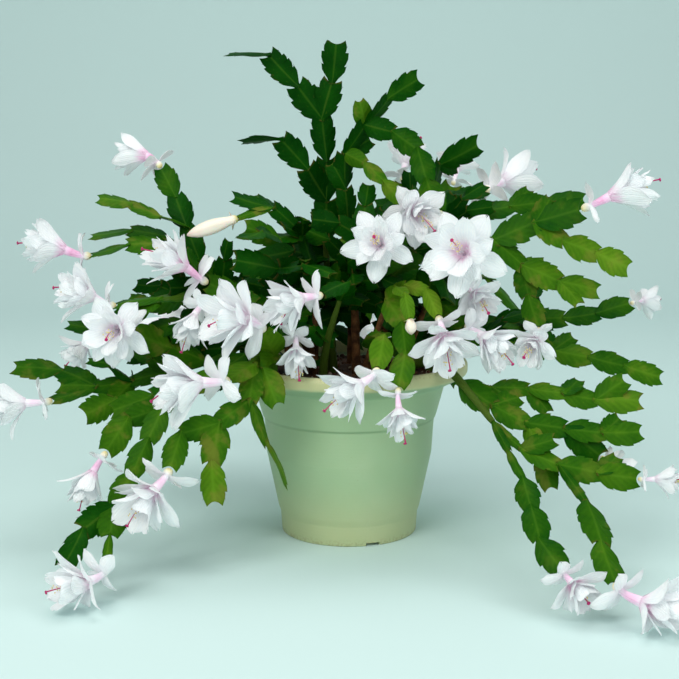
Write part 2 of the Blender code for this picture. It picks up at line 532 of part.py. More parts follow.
def chain(shoot: Shoot, joints: list, trunk: list) -> tuple:
    """Return points and faces of a shoot: flat toothed segments joined at narrow necks.

    A shoot that goes on from a trunk starts with the trunk's rings of (centre, radius).
    """
    draws = [random.Random(f"{shoot.name} {index}") for index in range(shoot.segments)]
    faces_to = []
    for index, (start, end) in enumerate(zip(joints, joints[1:])):
        wobble = Vector([draws[index].uniform(-WOBBLE, WOBBLE) for _ in range(3)])
        face = shoot.last_face if shoot.last_face and index == shoot.segments - 1 else shoot.face
        faces_to.append(side_vector((end - start).normalized(), Vector(face).normalized() + wobble))
    points, rings, faces = [], [], []
    for index, (centre, radius) in enumerate(trunk):
        after = trunk[index + 1][0] if index + 1 < len(trunk) else joints[0]
        along = (after - trunk[max(index - 1, 0)][0]).normalized()
        across = (faces_to[0] - along * faces_to[0].dot(along)).normalized()
        normal = across.cross(along)
        rings.append([len(points) + corner for corner in range(4)])
        points += [centre - across * radius, centre + normal * radius,
                   centre + across * radius, centre - normal * radius]
    for index, joint in enumerate(joints):
        before = (joint - joints[index - 1]).normalized() if index else (joints[1] - joint).normalized()
        after = (joints[index + 1] - joint).normalized() if index < shoot.segments else before
        along = (before + after).normalized()
        across = faces_to[max(index - 1, 0)] + faces_to[min(index, shoot.segments - 1)]
        across = (across - along * across.dot(along)).normalized()
        normal = across.cross(along)
        centre = joint if index or trunk else joint - along * SINK
        rings.append([len(points) + corner for corner in range(4)])
        points += [centre - across * NECK_WIDE, centre + normal * NECK_THICK,
                   centre + across * NECK_WIDE, centre - normal * NECK_THICK]
    for low, high in zip(rings, rings[1:len(trunk) + 1]):
        faces += [(low[side], low[side - 1], high[side - 1], high[side]) for side in range(4)]
    for index, (start, end) in enumerate(zip(joints, joints[1:])):
        across = faces_to[index]
        along = end - start
        normal = across.cross(along.normalized())
        length = along.length
        half = SEGMENT_HALF_WIDTH * shoot.scale * min(1.12, 0.35 + 0.65 * length / SEGMENT_LENGTH)
        draw = draws[index]
        half *= draw.uniform(0.9, 1.08) * (SLIM if index in shoot.slim else 1.0)
        outline = SEGMENT_OUTLINE if index or trunk else FIRST_OUTLINE
        sides = []
        for sign in (-1.0, 1.0):
            row = []
            for part, width in outline:
                part += draw.uniform(-0.02, 0.02)
                width *= draw.uniform(0.94, 1.06)
                row.append(len(points))
                points.append(start + along * part + across * (sign * half * width))
            sides.append(row)
        left, right = sides
        top = len(points)
        points += [start + along * 0.5 + normal * RIDGE, start + along * 0.5 - normal * RIDGE]
        here, there = rings[len(trunk) + index], rings[len(trunk) + index + 1]
        for ridge, corner in ((top, 1), (top + 1, 3)):
            loop = [here[corner], here[0], *left, there[0], there[corner], there[2]]
            loop += [*reversed(right), here[2]]
            for first, second in zip(loop, loop[1:] + loop[:1]):
                faces.append((first, second, ridge))
    faces += [tuple(rings[0]), tuple(rings[-1])]
    return [on_floor(point) for point in points], faces


def tube(route: list, radii: list, sides: int) -> tuple:
    """Return points and faces of a closed tube along a route."""
    points, rings, faces = [], [], []
    across = Vector((1.0, 0.0, 0.0))
    for index, (centre, radius) in enumerate(zip(route, radii)):
        before = route[max(index - 1, 0)]
        after = route[min(index + 1, len(route) - 1)]
        along = (after - before).normalized()
        across = (across - along * across.dot(along)).normalized()
        normal = along.cross(across)
        rings.append([len(points) + side for side in range(sides)])
        for side in range(sides):
            angle = math.tau * side / sides
            points.append(centre + (across * math.cos(angle) + normal * math.sin(angle)) * radius)
    for low, high in zip(rings, rings[1:]):
        for side in range(sides):
            after = (side + 1) % sides
            faces.append((low[side], low[after], high[after], high[side]))
    faces += [tuple(rings[0]), tuple(rings[-1])]
    return points, faces


def trunk_rings(stem: Stem) -> list:
    """Return the (centre, radius) of a trunk's rings, from its foot up to below its first joint."""
    x, y = stem.hole
    route = [Vector((x, y, SOIL_TOP - STEM_SINK)), Vector((x, y, SOIL_TOP + 4.0))]
    route += [Vector(point) for point in stem.trunk[:-1]]
    return [
        (centre, stem.radius * (1.0 - 0.4 * index / len(route)))
        for index, centre in enumerate(route)
    ]


def build_stem(stem: Stem) -> bpy.types.Object:
    """Build a trunk and its shoots as one solid: the first shoot goes on from the trunk."""
    joints = grow(stem)
    main, *others = stem.shoots
    item = mesh_object(stem.name, *chain(main, joints[main.name], trunk_rings(stem)), MATERIALS["leaf"])
    shoots = [
        mesh_object(shoot.name, *chain(shoot, joints[shoot.name], []), MATERIALS["leaf"])
        for shoot in others
    ]
    if shoots:
        combine(item, shoots, "UNION")
    return item


def shoot_end(name: str) -> tuple:
    """Return the last point of a shoot and its direction there."""
    joints = next(grow(stem)[name] for stem in STEMS if name in grow(stem))
    end, before = on_floor(joints[-1]), on_floor(joints[-2])
    return end, (end - before).normalized()


class Axis:
    """The curved middle line of a bloom, with a frame that follows it."""

    def __init__(self, start: Vector, heading: Vector, middle: Vector, mouth: Vector) -> None:
        reach = (middle - start).length + (mouth - middle).length
        out = (mouth - middle).normalized()
        self.knots = (start, start + heading * reach * 0.22, mouth - out * reach * 0.42, mouth)
        self.length = reach
        lines = [self.along(step / 4) for step in range(5)]
        self.top = min(TOPS, key=lambda top: max(abs(line.dot(top)) for line in lines))

    def at(self, part: float) -> Vector:
        """Return the point at a part of the line."""
        a, b, c, d = self.knots
        if part > 1.0:
            return d + (d - c).normalized() * (part - 1.0) * self.length
        rest = 1.0 - part
        return a * rest ** 3 + b * (3 * rest * rest * part) + c * (3 * rest * part * part) + d * part ** 3

    def along(self, part: float) -> Vector:
        """Return the direction of the line at a part of it."""
        return (self.at(part + 0.02) - self.at(max(part - 0.02, 0.0))).normalized()

    def frame(self, part: float) -> tuple:
        """Return the line's direction at a part of it, and two directions across it."""
        along = self.along(part)
        top = (self.top - along * self.top.dot(along)).normalized()
        return along, top, along.cross(top)


class Whorl(NamedTuple):
    """A ring of petals: how they open and curl back, and the side of the tube that has none."""

    place: float
    length: float
    half_width: float
    flare: float
    curl: float
    turn: float = 0.0  # how far the petals lean round the tube
    bare: int = -1


def ring(axis: Axis, part: float, radius: float) -> list:
    """Return the corners of the bloom's tube at a part of its axis."""
    _, top, side = axis.frame(part)
    centre = axis.at(part)
    corners = []
    for index in range(TUBE_SIDES):
        angle = math.tau * index / TUBE_SIDES
        corners.append(centre + (top * math.cos(angle) + side * math.sin(angle)) * radius)
    return corners


def add_whorl(
    shape: tuple, rings: tuple, axis: Axis, whorl: Whorl, sag: Vector, draw: random.Random
) -> None:
    """Grow a petal out of each side of the tube between two rings, adding to the points and faces."""
    points, faces = shape
    low, high = rings
    along = axis.along(whorl.place)
    centre = axis.at(whorl.place)
    sag = sag - along * sag.dot(along)
    for index in range(TUBE_SIDES):
        after = (index + 1) % TUBE_SIDES
        if index == whorl.bare:
            faces.append((low[index], low[after], high[after], high[index]))
            continue
        root = (points[low[index]] + points[low[after]] + points[high[index]] + points[high[after]]) / 4
        outward = root - centre
        outward = (outward - along * outward.dot(along)).normalized()
        outward = outward * math.cos(whorl.turn) + along.cross(outward) * math.sin(whorl.turn)
        across = along.cross(outward)
        flare = whorl.flare * (1.0 - 0.16 * outward.z) * draw.uniform(0.92, 1.08)
        length = whorl.length * draw.uniform(0.9, 1.1)
        reach = (root - centre).length + 0.55 * length * math.sin(flare)
        half = min(whorl.half_width * draw.uniform(0.92, 1.05), reach * PETAL_SPACE)
        hang = sag * (0.5 + 0.5 * outward.dot(sag.normalized()))
        bent = flare + whorl.curl
        first = along * math.cos(flare) + outward * math.sin(flare) + hang * 0.4
        second = along * math.cos(bent) + outward * math.sin(bent) + hang
        tip = root + first.normalized() * length * 0.55 + second.normalized() * length * 0.45
        middle = root.lerp(tip, 0.55)
        lift = across.cross(tip - root).normalized()
        if lift.dot(along) < 0.0:
            lift.negate()
        base = len(points)
        below = middle - lift * PETAL_THICK
        points += [below - across * half, tip, below + across * half]
        left, end, right = range(base, base + 3)
        faces += [(high[index], left, end), (high[index], end, high[after]), (high[after], end, right)]
        faces += [(low[index], right, left), (low[index], low[after], right), (left, right, end)]
        faces += [(low[index], high[index], left), (low[after], right, high[after])]


def build_bloom(bloom: Bloom) -> bpy.types.Object:
    """Build a flower as one closed surface: ovary, tube, three whorls of petals and the style."""
    draw = random.Random(bloom.name)
    end, heading = shoot_end(bloom.shoot)
    start = end + heading * BLOOM_GAP
    axis = Axis(start, heading, Vector(bloom.middle), Vector(bloom.mouth))
    size = bloom.size * min(1.1, max(0.75, axis.length / BLOOM_LENGTH))
    spread = bloom.spread
    sag = Vector((0.0, 0.0, SAG * (spread - SAG_FREE)))
    points, rings, faces = [], [], []
    for part, radius in BLOOM_RINGS:
        rings.append([len(points) + corner for corner in range(TUBE_SIDES)])
        points += ring(axis, part, radius * size)
    whorls = {
        1: Whorl(0.17, 19.0 * size, 4.6 * size, 1.2 + 0.3 * spread, 0.4, 0.0, draw.choice((2, 3))),
        3: Whorl(0.455, 27.0 * size, 6.8 * size, 0.25 + 0.75 * spread, 0.35),
        4: Whorl(0.53, 27.0 * size, 7.6 * size, 0.06 + 0.3 * spread, 0.2 * spread, LEAN),
    }
    for index, (low, high) in enumerate(zip(rings, rings[1:])):
        if index in whorls:
            add_whorl((points, faces), (low, high), axis, whorls[index], sag, draw)
            continue
        for corner in range(TUBE_SIDES):
            after = (corner + 1) % TUBE_SIDES
            faces.append((low[corner], low[after], high[after], high[corner]))
    faces += [tuple(rings[0]), tuple(rings[-1])]
    return mesh_object(bloom.name, [on_floor(point) for point in points], faces, MATERIALS["petal"])


def build_bud(bud: Bud) -> bpy.types.Object:
    """Build a closed bud that narrows to its tip."""
    end, heading = shoot_end(bud.shoot)
    start = end + heading * BLOOM_GAP
    tip = Vector(bud.tip)
    reach = (tip - start).length
    route = [start, start + heading * reach * 0.2, start.lerp(tip, 0.6) + heading * reach * 0.06, tip]
    radii = [1.8, bud.radius * 0.8, bud.radius, 0.8]
    points, faces = tube(route, radii, BUD_SIDES)
    return mesh_object(bud.name, points, faces, MATERIALS["bud"])


# ---- materials ---------------------------------------------------------------------------------
clear_scene()
MATERIALS = {
    "pot": principled("pot_plastic", (0.40, 0.52, 0.34), 0.45),
    "soil": principled("soil_peat", (0.05, 0.022, 0.010), 0.95),
    "leaf": principled("leaf_green", (0.06, 0.20, 0.018), 0.35),
    "petal": principled("petal_white", (0.82, 0.76, 0.80), 0.5),
    "bud": principled("bud_cream", (0.80, 0.74, 0.50), 0.5),
}

build_pot()
build_soil()
for plan in STEMS:
    build_stem(plan)
for plan in BLOOMS:
    build_bloom(plan)
for plan in BUDS:
    build_bud(plan)
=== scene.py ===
"""Dress the potted Christmas cactus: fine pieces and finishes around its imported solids.

The plan repeats the points that the stems, blooms and buds pass through, in millimetres in the
frame of the solids: Z is up and the origin is the centre of the pot's flat base. Every fine
piece is built along them, so that it keeps the form of the solid that it stands for.
"""

import json
import logging
import math
import random
from collections.abc import Sequence
from dataclasses import dataclass, field
from enum import Enum

import bmesh
import bpy
import numpy as np
from bpy.types import ColorRamp, Material, Mesh, NodeSocket, NodeTree, Object
from mathutils import Matrix, Vector, noise

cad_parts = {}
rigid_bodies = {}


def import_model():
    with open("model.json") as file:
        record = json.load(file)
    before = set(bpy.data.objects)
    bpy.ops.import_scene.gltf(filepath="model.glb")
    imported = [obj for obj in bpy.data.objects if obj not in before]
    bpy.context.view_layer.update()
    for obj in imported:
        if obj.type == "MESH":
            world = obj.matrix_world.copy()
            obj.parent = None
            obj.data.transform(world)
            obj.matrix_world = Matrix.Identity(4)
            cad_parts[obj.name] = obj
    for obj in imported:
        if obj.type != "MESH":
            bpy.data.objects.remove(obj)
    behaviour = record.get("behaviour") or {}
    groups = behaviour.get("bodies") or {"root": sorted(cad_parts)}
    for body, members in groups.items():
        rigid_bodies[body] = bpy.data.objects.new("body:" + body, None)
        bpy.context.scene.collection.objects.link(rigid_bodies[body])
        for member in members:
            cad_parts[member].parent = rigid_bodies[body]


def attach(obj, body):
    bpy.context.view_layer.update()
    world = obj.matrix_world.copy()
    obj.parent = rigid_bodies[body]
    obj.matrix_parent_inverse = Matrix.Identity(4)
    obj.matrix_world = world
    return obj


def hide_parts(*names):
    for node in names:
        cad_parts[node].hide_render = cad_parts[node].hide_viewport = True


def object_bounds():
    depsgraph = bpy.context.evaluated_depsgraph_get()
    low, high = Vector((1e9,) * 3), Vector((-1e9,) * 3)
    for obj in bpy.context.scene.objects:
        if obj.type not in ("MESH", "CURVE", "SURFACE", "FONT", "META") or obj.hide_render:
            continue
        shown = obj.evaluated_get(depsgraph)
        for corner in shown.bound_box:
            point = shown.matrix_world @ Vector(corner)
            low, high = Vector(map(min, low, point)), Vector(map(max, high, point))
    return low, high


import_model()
CAD_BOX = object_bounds()

LOG = logging.getLogger("christmas_cactus")
MM = 0.001
BODY = "root"

# ---- plan, in millimetres ----
POT_HEIGHT = 148.0
LIP_RADIUS = 100.0
LIP_BAND = 11.0
COLLAR_TOP_RADIUS = 81.0
COLLAR_FOOT_RADIUS = 73.5
COLLAR_FOOT_Z = 100.0
FOOT_RADIUS = 58.2
FOOT_RING = 17.0
WALL = 2.2
FLOOR = 3.0
SOIL_TOP = 136.0
BLOOM_GAP = 0.5
SOFT_FLOOR = 16.0
BOX_GAP = 0.3


class Face(Enum):
    """The direction that the blades of a shoot face."""

    FRONT = (0.0, -1.0, 0.15)
    UP = (0.0, -0.35, 1.0)
    SIDE = (1.0, -0.25, 0.1)
    TILT = (0.0, -0.8, 0.6)
    LEVEL = (0.0, 0.1, 1.0)
    HALF = (0.75, -0.7, 0.1)


class Margin(Enum):
    """How a shoot's segments are toothed: the numbers of the shapes that it draws from."""

    SHARP = (0, 1, 2)
    MILD = (3, 4, 5, 6)
    ROUND = (7, 8, 4)


@dataclass(frozen=True)
class FillRule:
    """The side shoots of a stem's undergrowth: their number, and bounds for where they start."""

    count: int
    front: float = -45.0  # the least Y
    low: float = 150.0  # the least Z
    high: float = 262.0  # the greatest Z
    reach: float = 108.0  # the greatest X, to the left or the right
    lengths: tuple = (24.0, 31.0)
    tone: float = 0.0  # how much lighter than the darkest they are

    def allows(self, place: Vector) -> bool:
        """Return whether a side shoot may start at a place."""
        inside = self.low < place.z < self.high and abs(place.x) < self.reach
        return inside and place.y > self.front


class Fill(Enum):
    """How densely a stem's undergrowth stands."""

    LIGHT = FillRule(8)
    TALL = FillRule(16)
    DENSE = FillRule(16, -60.0, 125.0, 212.0, 196.0, (20.0, 25.0), 0.12)


@dataclass(frozen=True)
class Shoot:
    """A chain of flat segments. Its tone runs from 0, the darkest green, to 1, a yellow green."""

    name: str
    segments: int
    face: Face
    tone: float
    points: tuple = ()
    margin: Margin = Margin.MILD
    scale: float = 1.0
    last_face: Face | None = None
    slim: tuple = ()  # the numbers of its narrow, stem-like segments
    bare: bool = False  # whether no side segments grow on it


@dataclass(frozen=True)
class Stem:
    """A trunk in its hole in the soil, with the shoots that it carries."""

    name: str
    fill: Fill
    hole: tuple
    radius: float
    young: bool
    trunk: tuple
    shoots: list


@dataclass(frozen=True)
class Bloom:
    """A flower at the end of a shoot, with points halfway along it and at its mouth."""

    name: str
    shoot: str
    middle: tuple
    mouth: tuple
    spread: float  # how open it is
    size: float
    blush: float = 0.45  # how pink its tube and the bases of its petals are


@dataclass(frozen=True)
class Bud:
    """A closed bud at a shoot's end, or at a start of its own, where no solid stands for it."""

    name: str
    shoot: str
    tip: tuple
    radius: float
    start: tuple = ()


def numbers(text: str) -> tuple:
    """Return the numbers that commas part in a text."""
    return tuple(float(number) for number in text.split(","))


def read_line(line: str) -> tuple:
    """Take a line of a plan apart.

    Args:
        line: Words and options such as scale=0.9, a colon, and points.

    Returns:
        The words, the options by name, and the points.
    """
    head, points = line.split(":")
    words = [word for word in head.split() if "=" not in word]
    options = dict(word.split("=") for word in head.split() if "=" in word)
    return words, options, tuple(numbers(point) for point in points.split())


def read_stems(plan: str) -> list:
    """Return the stems of a plan, each with its shoots.

    Args:
        plan: Its lines; those of the shoots are indented under their stem's.

    Returns:
        The stems, in order.
    """
    stems = []
    for line in plan.strip().splitlines():
        words, options, points = read_line(line)
        if not line.startswith(" "):
            name, fill, hole, radius = words[:4]
            young = "young" in words
            stems.append(Stem(name, Fill[fill], numbers(hole), float(radius), young, points, []))
            continue
        name, segments, face, tone, *rest = words
        margin = next((word for word in rest if word in Margin.__members__), "MILD")
        stems[-1].shoots.append(Shoot(
            name, int(segments), Face[face], float(tone), points, Margin[margin],
            scale=float(options.get("scale", 1.0)), last_face=Face[options.get("last", face)],
            slim=numbers(options["slim"]) if "slim" in options else (), bare="bare" in words,
        ))
    return stems


def read_blooms(plan: str) -> list:
    """Return the blooms of a plan.

    Args:
        plan: Its lines, one for each bloom.

    Returns:
        The blooms, in order.
    """
    blooms = []
    for line in plan.strip().splitlines():
        (name, shoot, *looks), _, points = read_line(line)
        blooms.append(Bloom(name, shoot, *points, *map(float, looks)))
    return blooms


# A stem: name, undergrowth, hole, radius, "young" if its bark is green, then its trunk's points.
# A shoot: name, number of segments, face, tone, its margin unless MILD, and options, then points.
STEMS = read_stems("""
stem_tall_centre TALL -14,6 4.6 young : -17,6,190 -20,6,247
 crown 6 FRONT 0.06 SHARP bare last=LEVEL : -20,6,247 -19,2,305 -22,0,346 -45,-4,377 -66,-2,399 \
    -99,6,400
 crown_right 2 FRONT 0.08 SHARP : -22,0,346 -14,-3,379 -11,-2,409
 crown_side 3 FRONT 0.05 SHARP bare last=LEVEL : -20,4,275 -38,-6,312 -55,-10,331 -88,-6,329
stem_upper_right TALL 6,-8 4.4 : 4,-8,200 -2,-4,262
 upper 5 HALF 0.22 SHARP : -2,-4,262 -4,-8,321 15,-12,346 35,-14,368 56,-10,380
 upper_round 1 FRONT 0.52 ROUND scale=0.9 : 15,-12,346 8,-18,362
 upper_droop 4 FRONT 0.3 : 16,-13,347 44,-24,334 56,-30,321 62,-36,298 71,-38,275
 upper_bright 3 FRONT 0.62 ROUND bare scale=0.8 : -4,-8,312 17,-20,309 42,-28,281
 upper_front 2 TILT 0.24 : 2,-6,236 12,-34,252 23,-58,248
stem_right_high TALL 30,20 4 : 31,16,175 36,14,214
 high 6 TILT 0.34 : 36,14,214 82,24,261 132,34,272 165,38,276 202,38,279
 high_back 2 TILT 0.2 SHARP : 82,24,261 94,42,283 117,60,286
 high_hook 3 SIDE 0.16 SHARP : 66,20,246 74,40,300 87,46,320 111,48,326
stem_right_mid LIGHT 44,-10 4.2 : 52,-14,165 65,-20,200
 mid 4 TILT 0.36 SHARP : 65,-20,200 115,-40,251 147,-48,266 183,-54,277
 mid_bright 3 TILT 0.62 : 147,-48,266 178,-56,247 202,-56,240 222,-54,230
 mid_low 3 TILT 0.52 : 115,-41,249 142,-50,229 171,-56,218 198,-56,212
 mid_hang 2 FRONT 0.4 : 140,-50,230 144,-58,202 150,-62,184
 mid_face 2 TILT 0.3 : 65,-20,200 68,-50,236 86,-76,241
 mid_face_low 2 TILT 0.45 : 65,-20,200 86,-28,218 92,-46,214
 mid_drop 2 FRONT 0.38 : 65,-20,200 80,-46,196 92,-66,186
stem_right_low DENSE 58,24 3.8 young : 62,22,152 68,18,170
 low 6 TILT 0.34 : 68,18,170 122,30,174 199,38,177 224,42,182 246,46,188
stem_right_trail DENSE 68,-2 3.6 young : 72,-3,154 80,-4,166
 trail_high 6 TILT 0.44 : 80,-4,166 109,-12,168 167,-20,158 215,-26,149 258,-26,136
stem_front_right LIGHT 44,-40 4.8 young : 54,-50,152 72,-68,156 87,-92,144 109,-118,119
 arm_upper 4 TILT 0.44 slim=0 : 109,-118,119 124,-126,103 164,-136,87 193,-138,83 217,-137,79
 arm_lower 5 FRONT 0.36 bare slim=0,1 : 109,-118,119 126,-146,88 131,-166,75 134,-188,52 \
    149,-209,32
 arm_mid 3 FRONT 0.4 bare slim=0 : 166,-137,86 174,-160,68 180,-196,45 184,-226,28
 trail_upper 5 TILT 0.46 slim=0 : 80,-80,150 111,-82,138 159,-86,137 188,-84,127 217,-80,144
 trail_end 1 TILT 0.52 : 192,-84,128 228,-88,129
 trail_low 5 TILT 0.4 : 88,-93,143 129,-108,118 172,-110,111 199,-110,108 225,-106,108
 trail_dip 1 FRONT 0.26 : 172,-110,110 194,-110,90
 trail_drop 2 FRONT 0.5 scale=0.8 : 145,-109,115 149,-124,88 153,-128,69
stem_front_centre LIGHT 12,-44 3.8 : 18,-52,165 30,-64,206
 bright_left 3 FRONT 0.7 ROUND bare scale=0.75 : 30,-64,206 40,-86,220 46,-98,196
 hang_left 3 FRONT 0.54 ROUND bare scale=0.9 : 18,-52,165 22,-78,184 26,-98,180 21,-111,160
 hang_right 3 FRONT 0.52 ROUND bare scale=0.9 : 30,-64,206 42,-86,187 43,-100,172 37,-114,145
 bright_right 3 FRONT 0.76 ROUND bare scale=0.75 : 30,-64,206 54,-78,222 68,-88,197
stem_front_left LIGHT -22,-40 4 young : -18,-48,170 -8,-58,205
 cross 2 UP 0.2 scale=0.9 : -8,-58,205 -2,-82,222 -21,-92,214
 cross_low 2 UP 0.3 scale=0.8 : -18,-48,168 -32,-62,184 -40,-76,180
stem_left_high TALL -30,-14 4.2 : -28,-16,180 -28,-18,222
 arch 3 UP 0.14 SHARP : -28,-18,222 -38,-20,252 -65,-27,278 -94,-29,285
 arch_bud 1 TILT 0.5 ROUND scale=0.9 slim=0 : -66,-27,277 -90,-44,269
 arch_olive 2 TILT 0.34 : -34,-19,238 -54,-38,251 -83,-50,262
 arch_shade 3 FRONT 0.16 : -28,-17,216 -49,-12,211 -73,-14,199 -98,-10,200
 arch_dark 2 FRONT 0.1 SHARP : -28,-18,222 -60,-40,228 -92,-50,236
stem_left_upper DENSE -42,20 4.4 : -52,18,160 -84,12,190
 rise 5 FRONT 0.3 bare : -84,12,190 -119,8,218 -137,14,257 -149,26,286 -161,38,306
 rise_low 4 TILT 0.34 : -84,12,190 -139,10,198 -169,6,192 -195,2,182
 rise_left 3 UP 0.56 bare : -137,13,256 -159,4,267 -184,0,278 -208,-2,282
 rise_far 4 UP 0.44 bare : -119,8,217 -143,-8,240 -177,-14,246 -212,-18,237
 rise_fan 3 UP 0.38 : -130,10,238 -166,16,254 -196,18,252 -218,18,249
stem_left_mid DENSE -50,-20 4 : -51,-24,160 -54,-30,181
 left 2 TILT 0.4 : -54,-30,181 -85,-44,203 -113,-55,218
 left_out 3 UP 0.44 : -85,-44,202 -128,-42,206 -161,-46,203 -188,-46,199
 left_under 3 TILT 0.36 : -85,-44,202 -112,-36,189 -138,-38,183 -162,-42,178
 left_drop 1 TILT 0.44 scale=0.9 : -85,-44,200 -112,-72,204
stem_left_low DENSE -70,-4 4 young : -76,-10,152 -92,-22,161
 spread 5 UP 0.4 : -92,-22,161 -131,-38,146 -172,-40,137 -209,-38,130 -239,-34,130
 spread_shade 3 TILT 0.26 : -92,-22,161 -126,-6,156 -156,4,158 -188,6,149
 spread_far 2 UP 0.36 : -210,-38,130 -240,-18,140 -280,-14,142
 spread_turn 1 UP 0.44 scale=0.9 : -208,-40,130 -241,-52,122
 spread_front 2 FRONT 0.56 SHARP : -172,-42,136 -186,-58,126 -212,-70,114
 spread_upper 4 UP 0.34 : -131,-34,148 -173,-16,160 -206,-14,172 -234,-14,178
 spread_face 2 TILT 0.5 : -125,-36,149 -150,-46,166 -172,-62,178
 spread_back 1 UP 0.3 scale=0.8 : -190,-15,166 -214,4,166
stem_left_front LIGHT -44,-52 4.2 young : -50,-60,154 -60,-74,164
 edge_up 1 FRONT 0.56 ROUND : -60,-74,164 -67,-97,186
 edge_bloom 2 TILT 0.6 ROUND : -60,-74,164 -78,-104,158 -92,-118,152
 edge_mass 2 FRONT 0.52 ROUND : -60,-74,164 -66,-100,156 -56,-114,132
 edge_down 4 FRONT 0.5 : -78,-104,156 -80,-118,130 -113,-128,116 -134,-133,110 -136,-138,88
 edge_tip 2 FRONT 0.54 : -106,-126,119 -105,-132,90 -103,-136,60
 edge_rod 2 SIDE 0.58 ROUND scale=0.7 : -79,-114,134 -63,-104,93 -50,-98,64
stem_left_trail LIGHT -64,-32 4 young : -70,-40,152 -84,-62,161
 fall 8 TILT 0.46 bare slim=7 : -84,-62,161 -116,-92,144 -146,-110,126 -158,-122,96 \
    -169,-132,76 -177,-146,60 -178,-166,44 -178,-188,26
 fall_side 2 TILT 0.4 : -130,-101,137 -162,-94,132 -186,-92,122
 fall_bloom 2 FRONT 0.44 : -146,-109,127 -168,-104,122 -189,-106,93
 fall_toothed 2 FRONT 0.22 SHARP : -177,-146,60 -194,-154,50 -206,-166,38 -210,-176,24
stem_back_left LIGHT -34,54 4 : -44,64,160 -60,82,196
 back_arch 3 UP 0.42 : -60,82,196 -100,118,222 -140,150,205 -164,168,172
 back_side 3 UP 0.42 : -60,82,196 -98,90,176 -140,102,152 -170,110,120
stem_back_mid LIGHT 2,42 4.2 : 2,52,180 0,64,222
 rear 4 UP 0.42 : 0,64,222 6,110,246 10,150,226 12,180,190 14,200,150
 rear_left 3 UP 0.42 : 0,64,222 -30,98,240 -60,128,236 -86,150,216
stem_back_right LIGHT 26,58 4 : 34,66,170 46,78,220
 rear_right 2 FRONT 0.42 : 46,78,220 56,98,256 50,116,290
 rear_out 2 FRONT 0.42 : 46,78,220 78,94,256 94,106,288
 rear_low 3 UP 0.42 : 46,78,220 90,108,222 130,128,200 160,138,168
""")

# A bloom: name, shoot, how open it is, its size, how pink it is unless 0.45, then its two points.
BLOOMS = read_blooms("""
bloom_far_left rise_far 0.3 1 0.9 : -237,-22,252 -269,-26,248
bloom_left_top rise 0.2 1 1 : -178,46,326 -197,52,309
bloom_left_mid left 0.45 1 0.9 : -132,-66,241 -160,-74,247
bloom_left_out left_out 0.5 1.05 : -209,-56,217 -233,-66,216
bloom_left_hidden spread_back 0.9 1 : -226,6,160 -240,2,142
bloom_left_face spread_face 1.1 1.1 : -186,-88,188 -186,-110,182
bloom_left_edge edge_up 0.75 1.25 : -84,-112,205 -104,-130,196
bloom_left_drop left_drop 0.25 1 : -123,-86,198 -130,-98,172
bloom_centre_left cross 0.5 1 0.6 : -42,-104,226 -52,-114,196
bloom_centre_low cross_low 0.45 0.95 : -40,-94,172 -39,-106,150
bloom_front_left edge_bloom 0.4 1.15 0.5 : -120,-134,162 -145,-146,143
bloom_left_end spread_turn 0.5 1 : -266,-56,124 -296,-60,117
bloom_fall_upper fall_bloom 0.35 1 0.8 : -202,-114,83 -208,-124,53
bloom_fall_front edge_down 1 1.15 0.6 : -151,-153,78 -163,-171,55
bloom_fall_low fall 1 1.2 : -192,-207,22 -214,-216,18
bloom_front_centre hang_left 0.5 1 : 7,-122,160 -18,-140,134
bloom_front_right hang_right 0.75 1 0.7 : 37,-124,129 41,-134,108
bloom_centre upper_front 1.1 1 : 20,-84,254 18,-112,260
bloom_centre_high upper_bright 0.45 1 : 48,-62,284 64,-84,264
bloom_face mid_face 1.2 1.25 0.6 : 88,-100,243 76,-124,258
bloom_face_low mid_face_low 0.7 1 : 102,-68,210 107,-87,200
bloom_centre_right bright_right 1 1.15 0.6 : 71,-102,188 75,-122,162
bloom_right_drop mid_drop 0.4 1 : 108,-88,184 124,-102,163
bloom_right_hang mid_hang 0.8 1 : 144,-78,175 135,-98,166
bloom_right_back high_back 0.5 1.1 : 139,80,296 167,96,303
bloom_back_centre rear_right 0.8 1 : 52,130,313 66,142,329
bloom_back_right rear_out 0.8 1 : 98,118,305 104,126,324
bloom_far_right mid 0.2 1 0.9 : 213,-58,294 241,-60,300
bloom_right_low low 0.6 0.8 : 256,54,190 276,64,190
bloom_arm_upper arm_upper 0.3 0.8 : 229,-140,82 250,-142,79
bloom_arm_hidden trail_dip 0.7 0.8 : 206,-100,82 222,-90,70
bloom_arm_lower arm_lower 0.8 1.1 0.7 : 157,-223,25 163,-240,19
bloom_arm_mid arm_mid 0.7 1 0.7 : 210,-250,19 235,-266,15
bloom_back_arch back_arch 0.9 1 : -176,184,150 -190,196,126
bloom_rear rear 0.9 1 : 16,212,124 20,222,98
""")

BUDS = (
    Bud("bud_large", "arch_bud", (-130, -50, 256), 6.0),
    Bud("bud_centre", "upper_droop", (74, -38, 260), 5.0),
    Bud("bud_front", "bright_left", (47, -102, 184), 4.5),
    Bud("bud_small_left", "left", (-83, -56, 212), 3.6, (-83, -48, 206)),
)


# ---- node trees ----
def rgb(*values: int) -> tuple:
    """Return the linear red, green and blue of a colour from its usual 0 to 255 values."""
    shares = (value / 255 for value in values)
    return tuple(s / 12.92 if s <= 0.04045 else ((s + 0.055) / 1.055) ** 2.4 for s in shares)


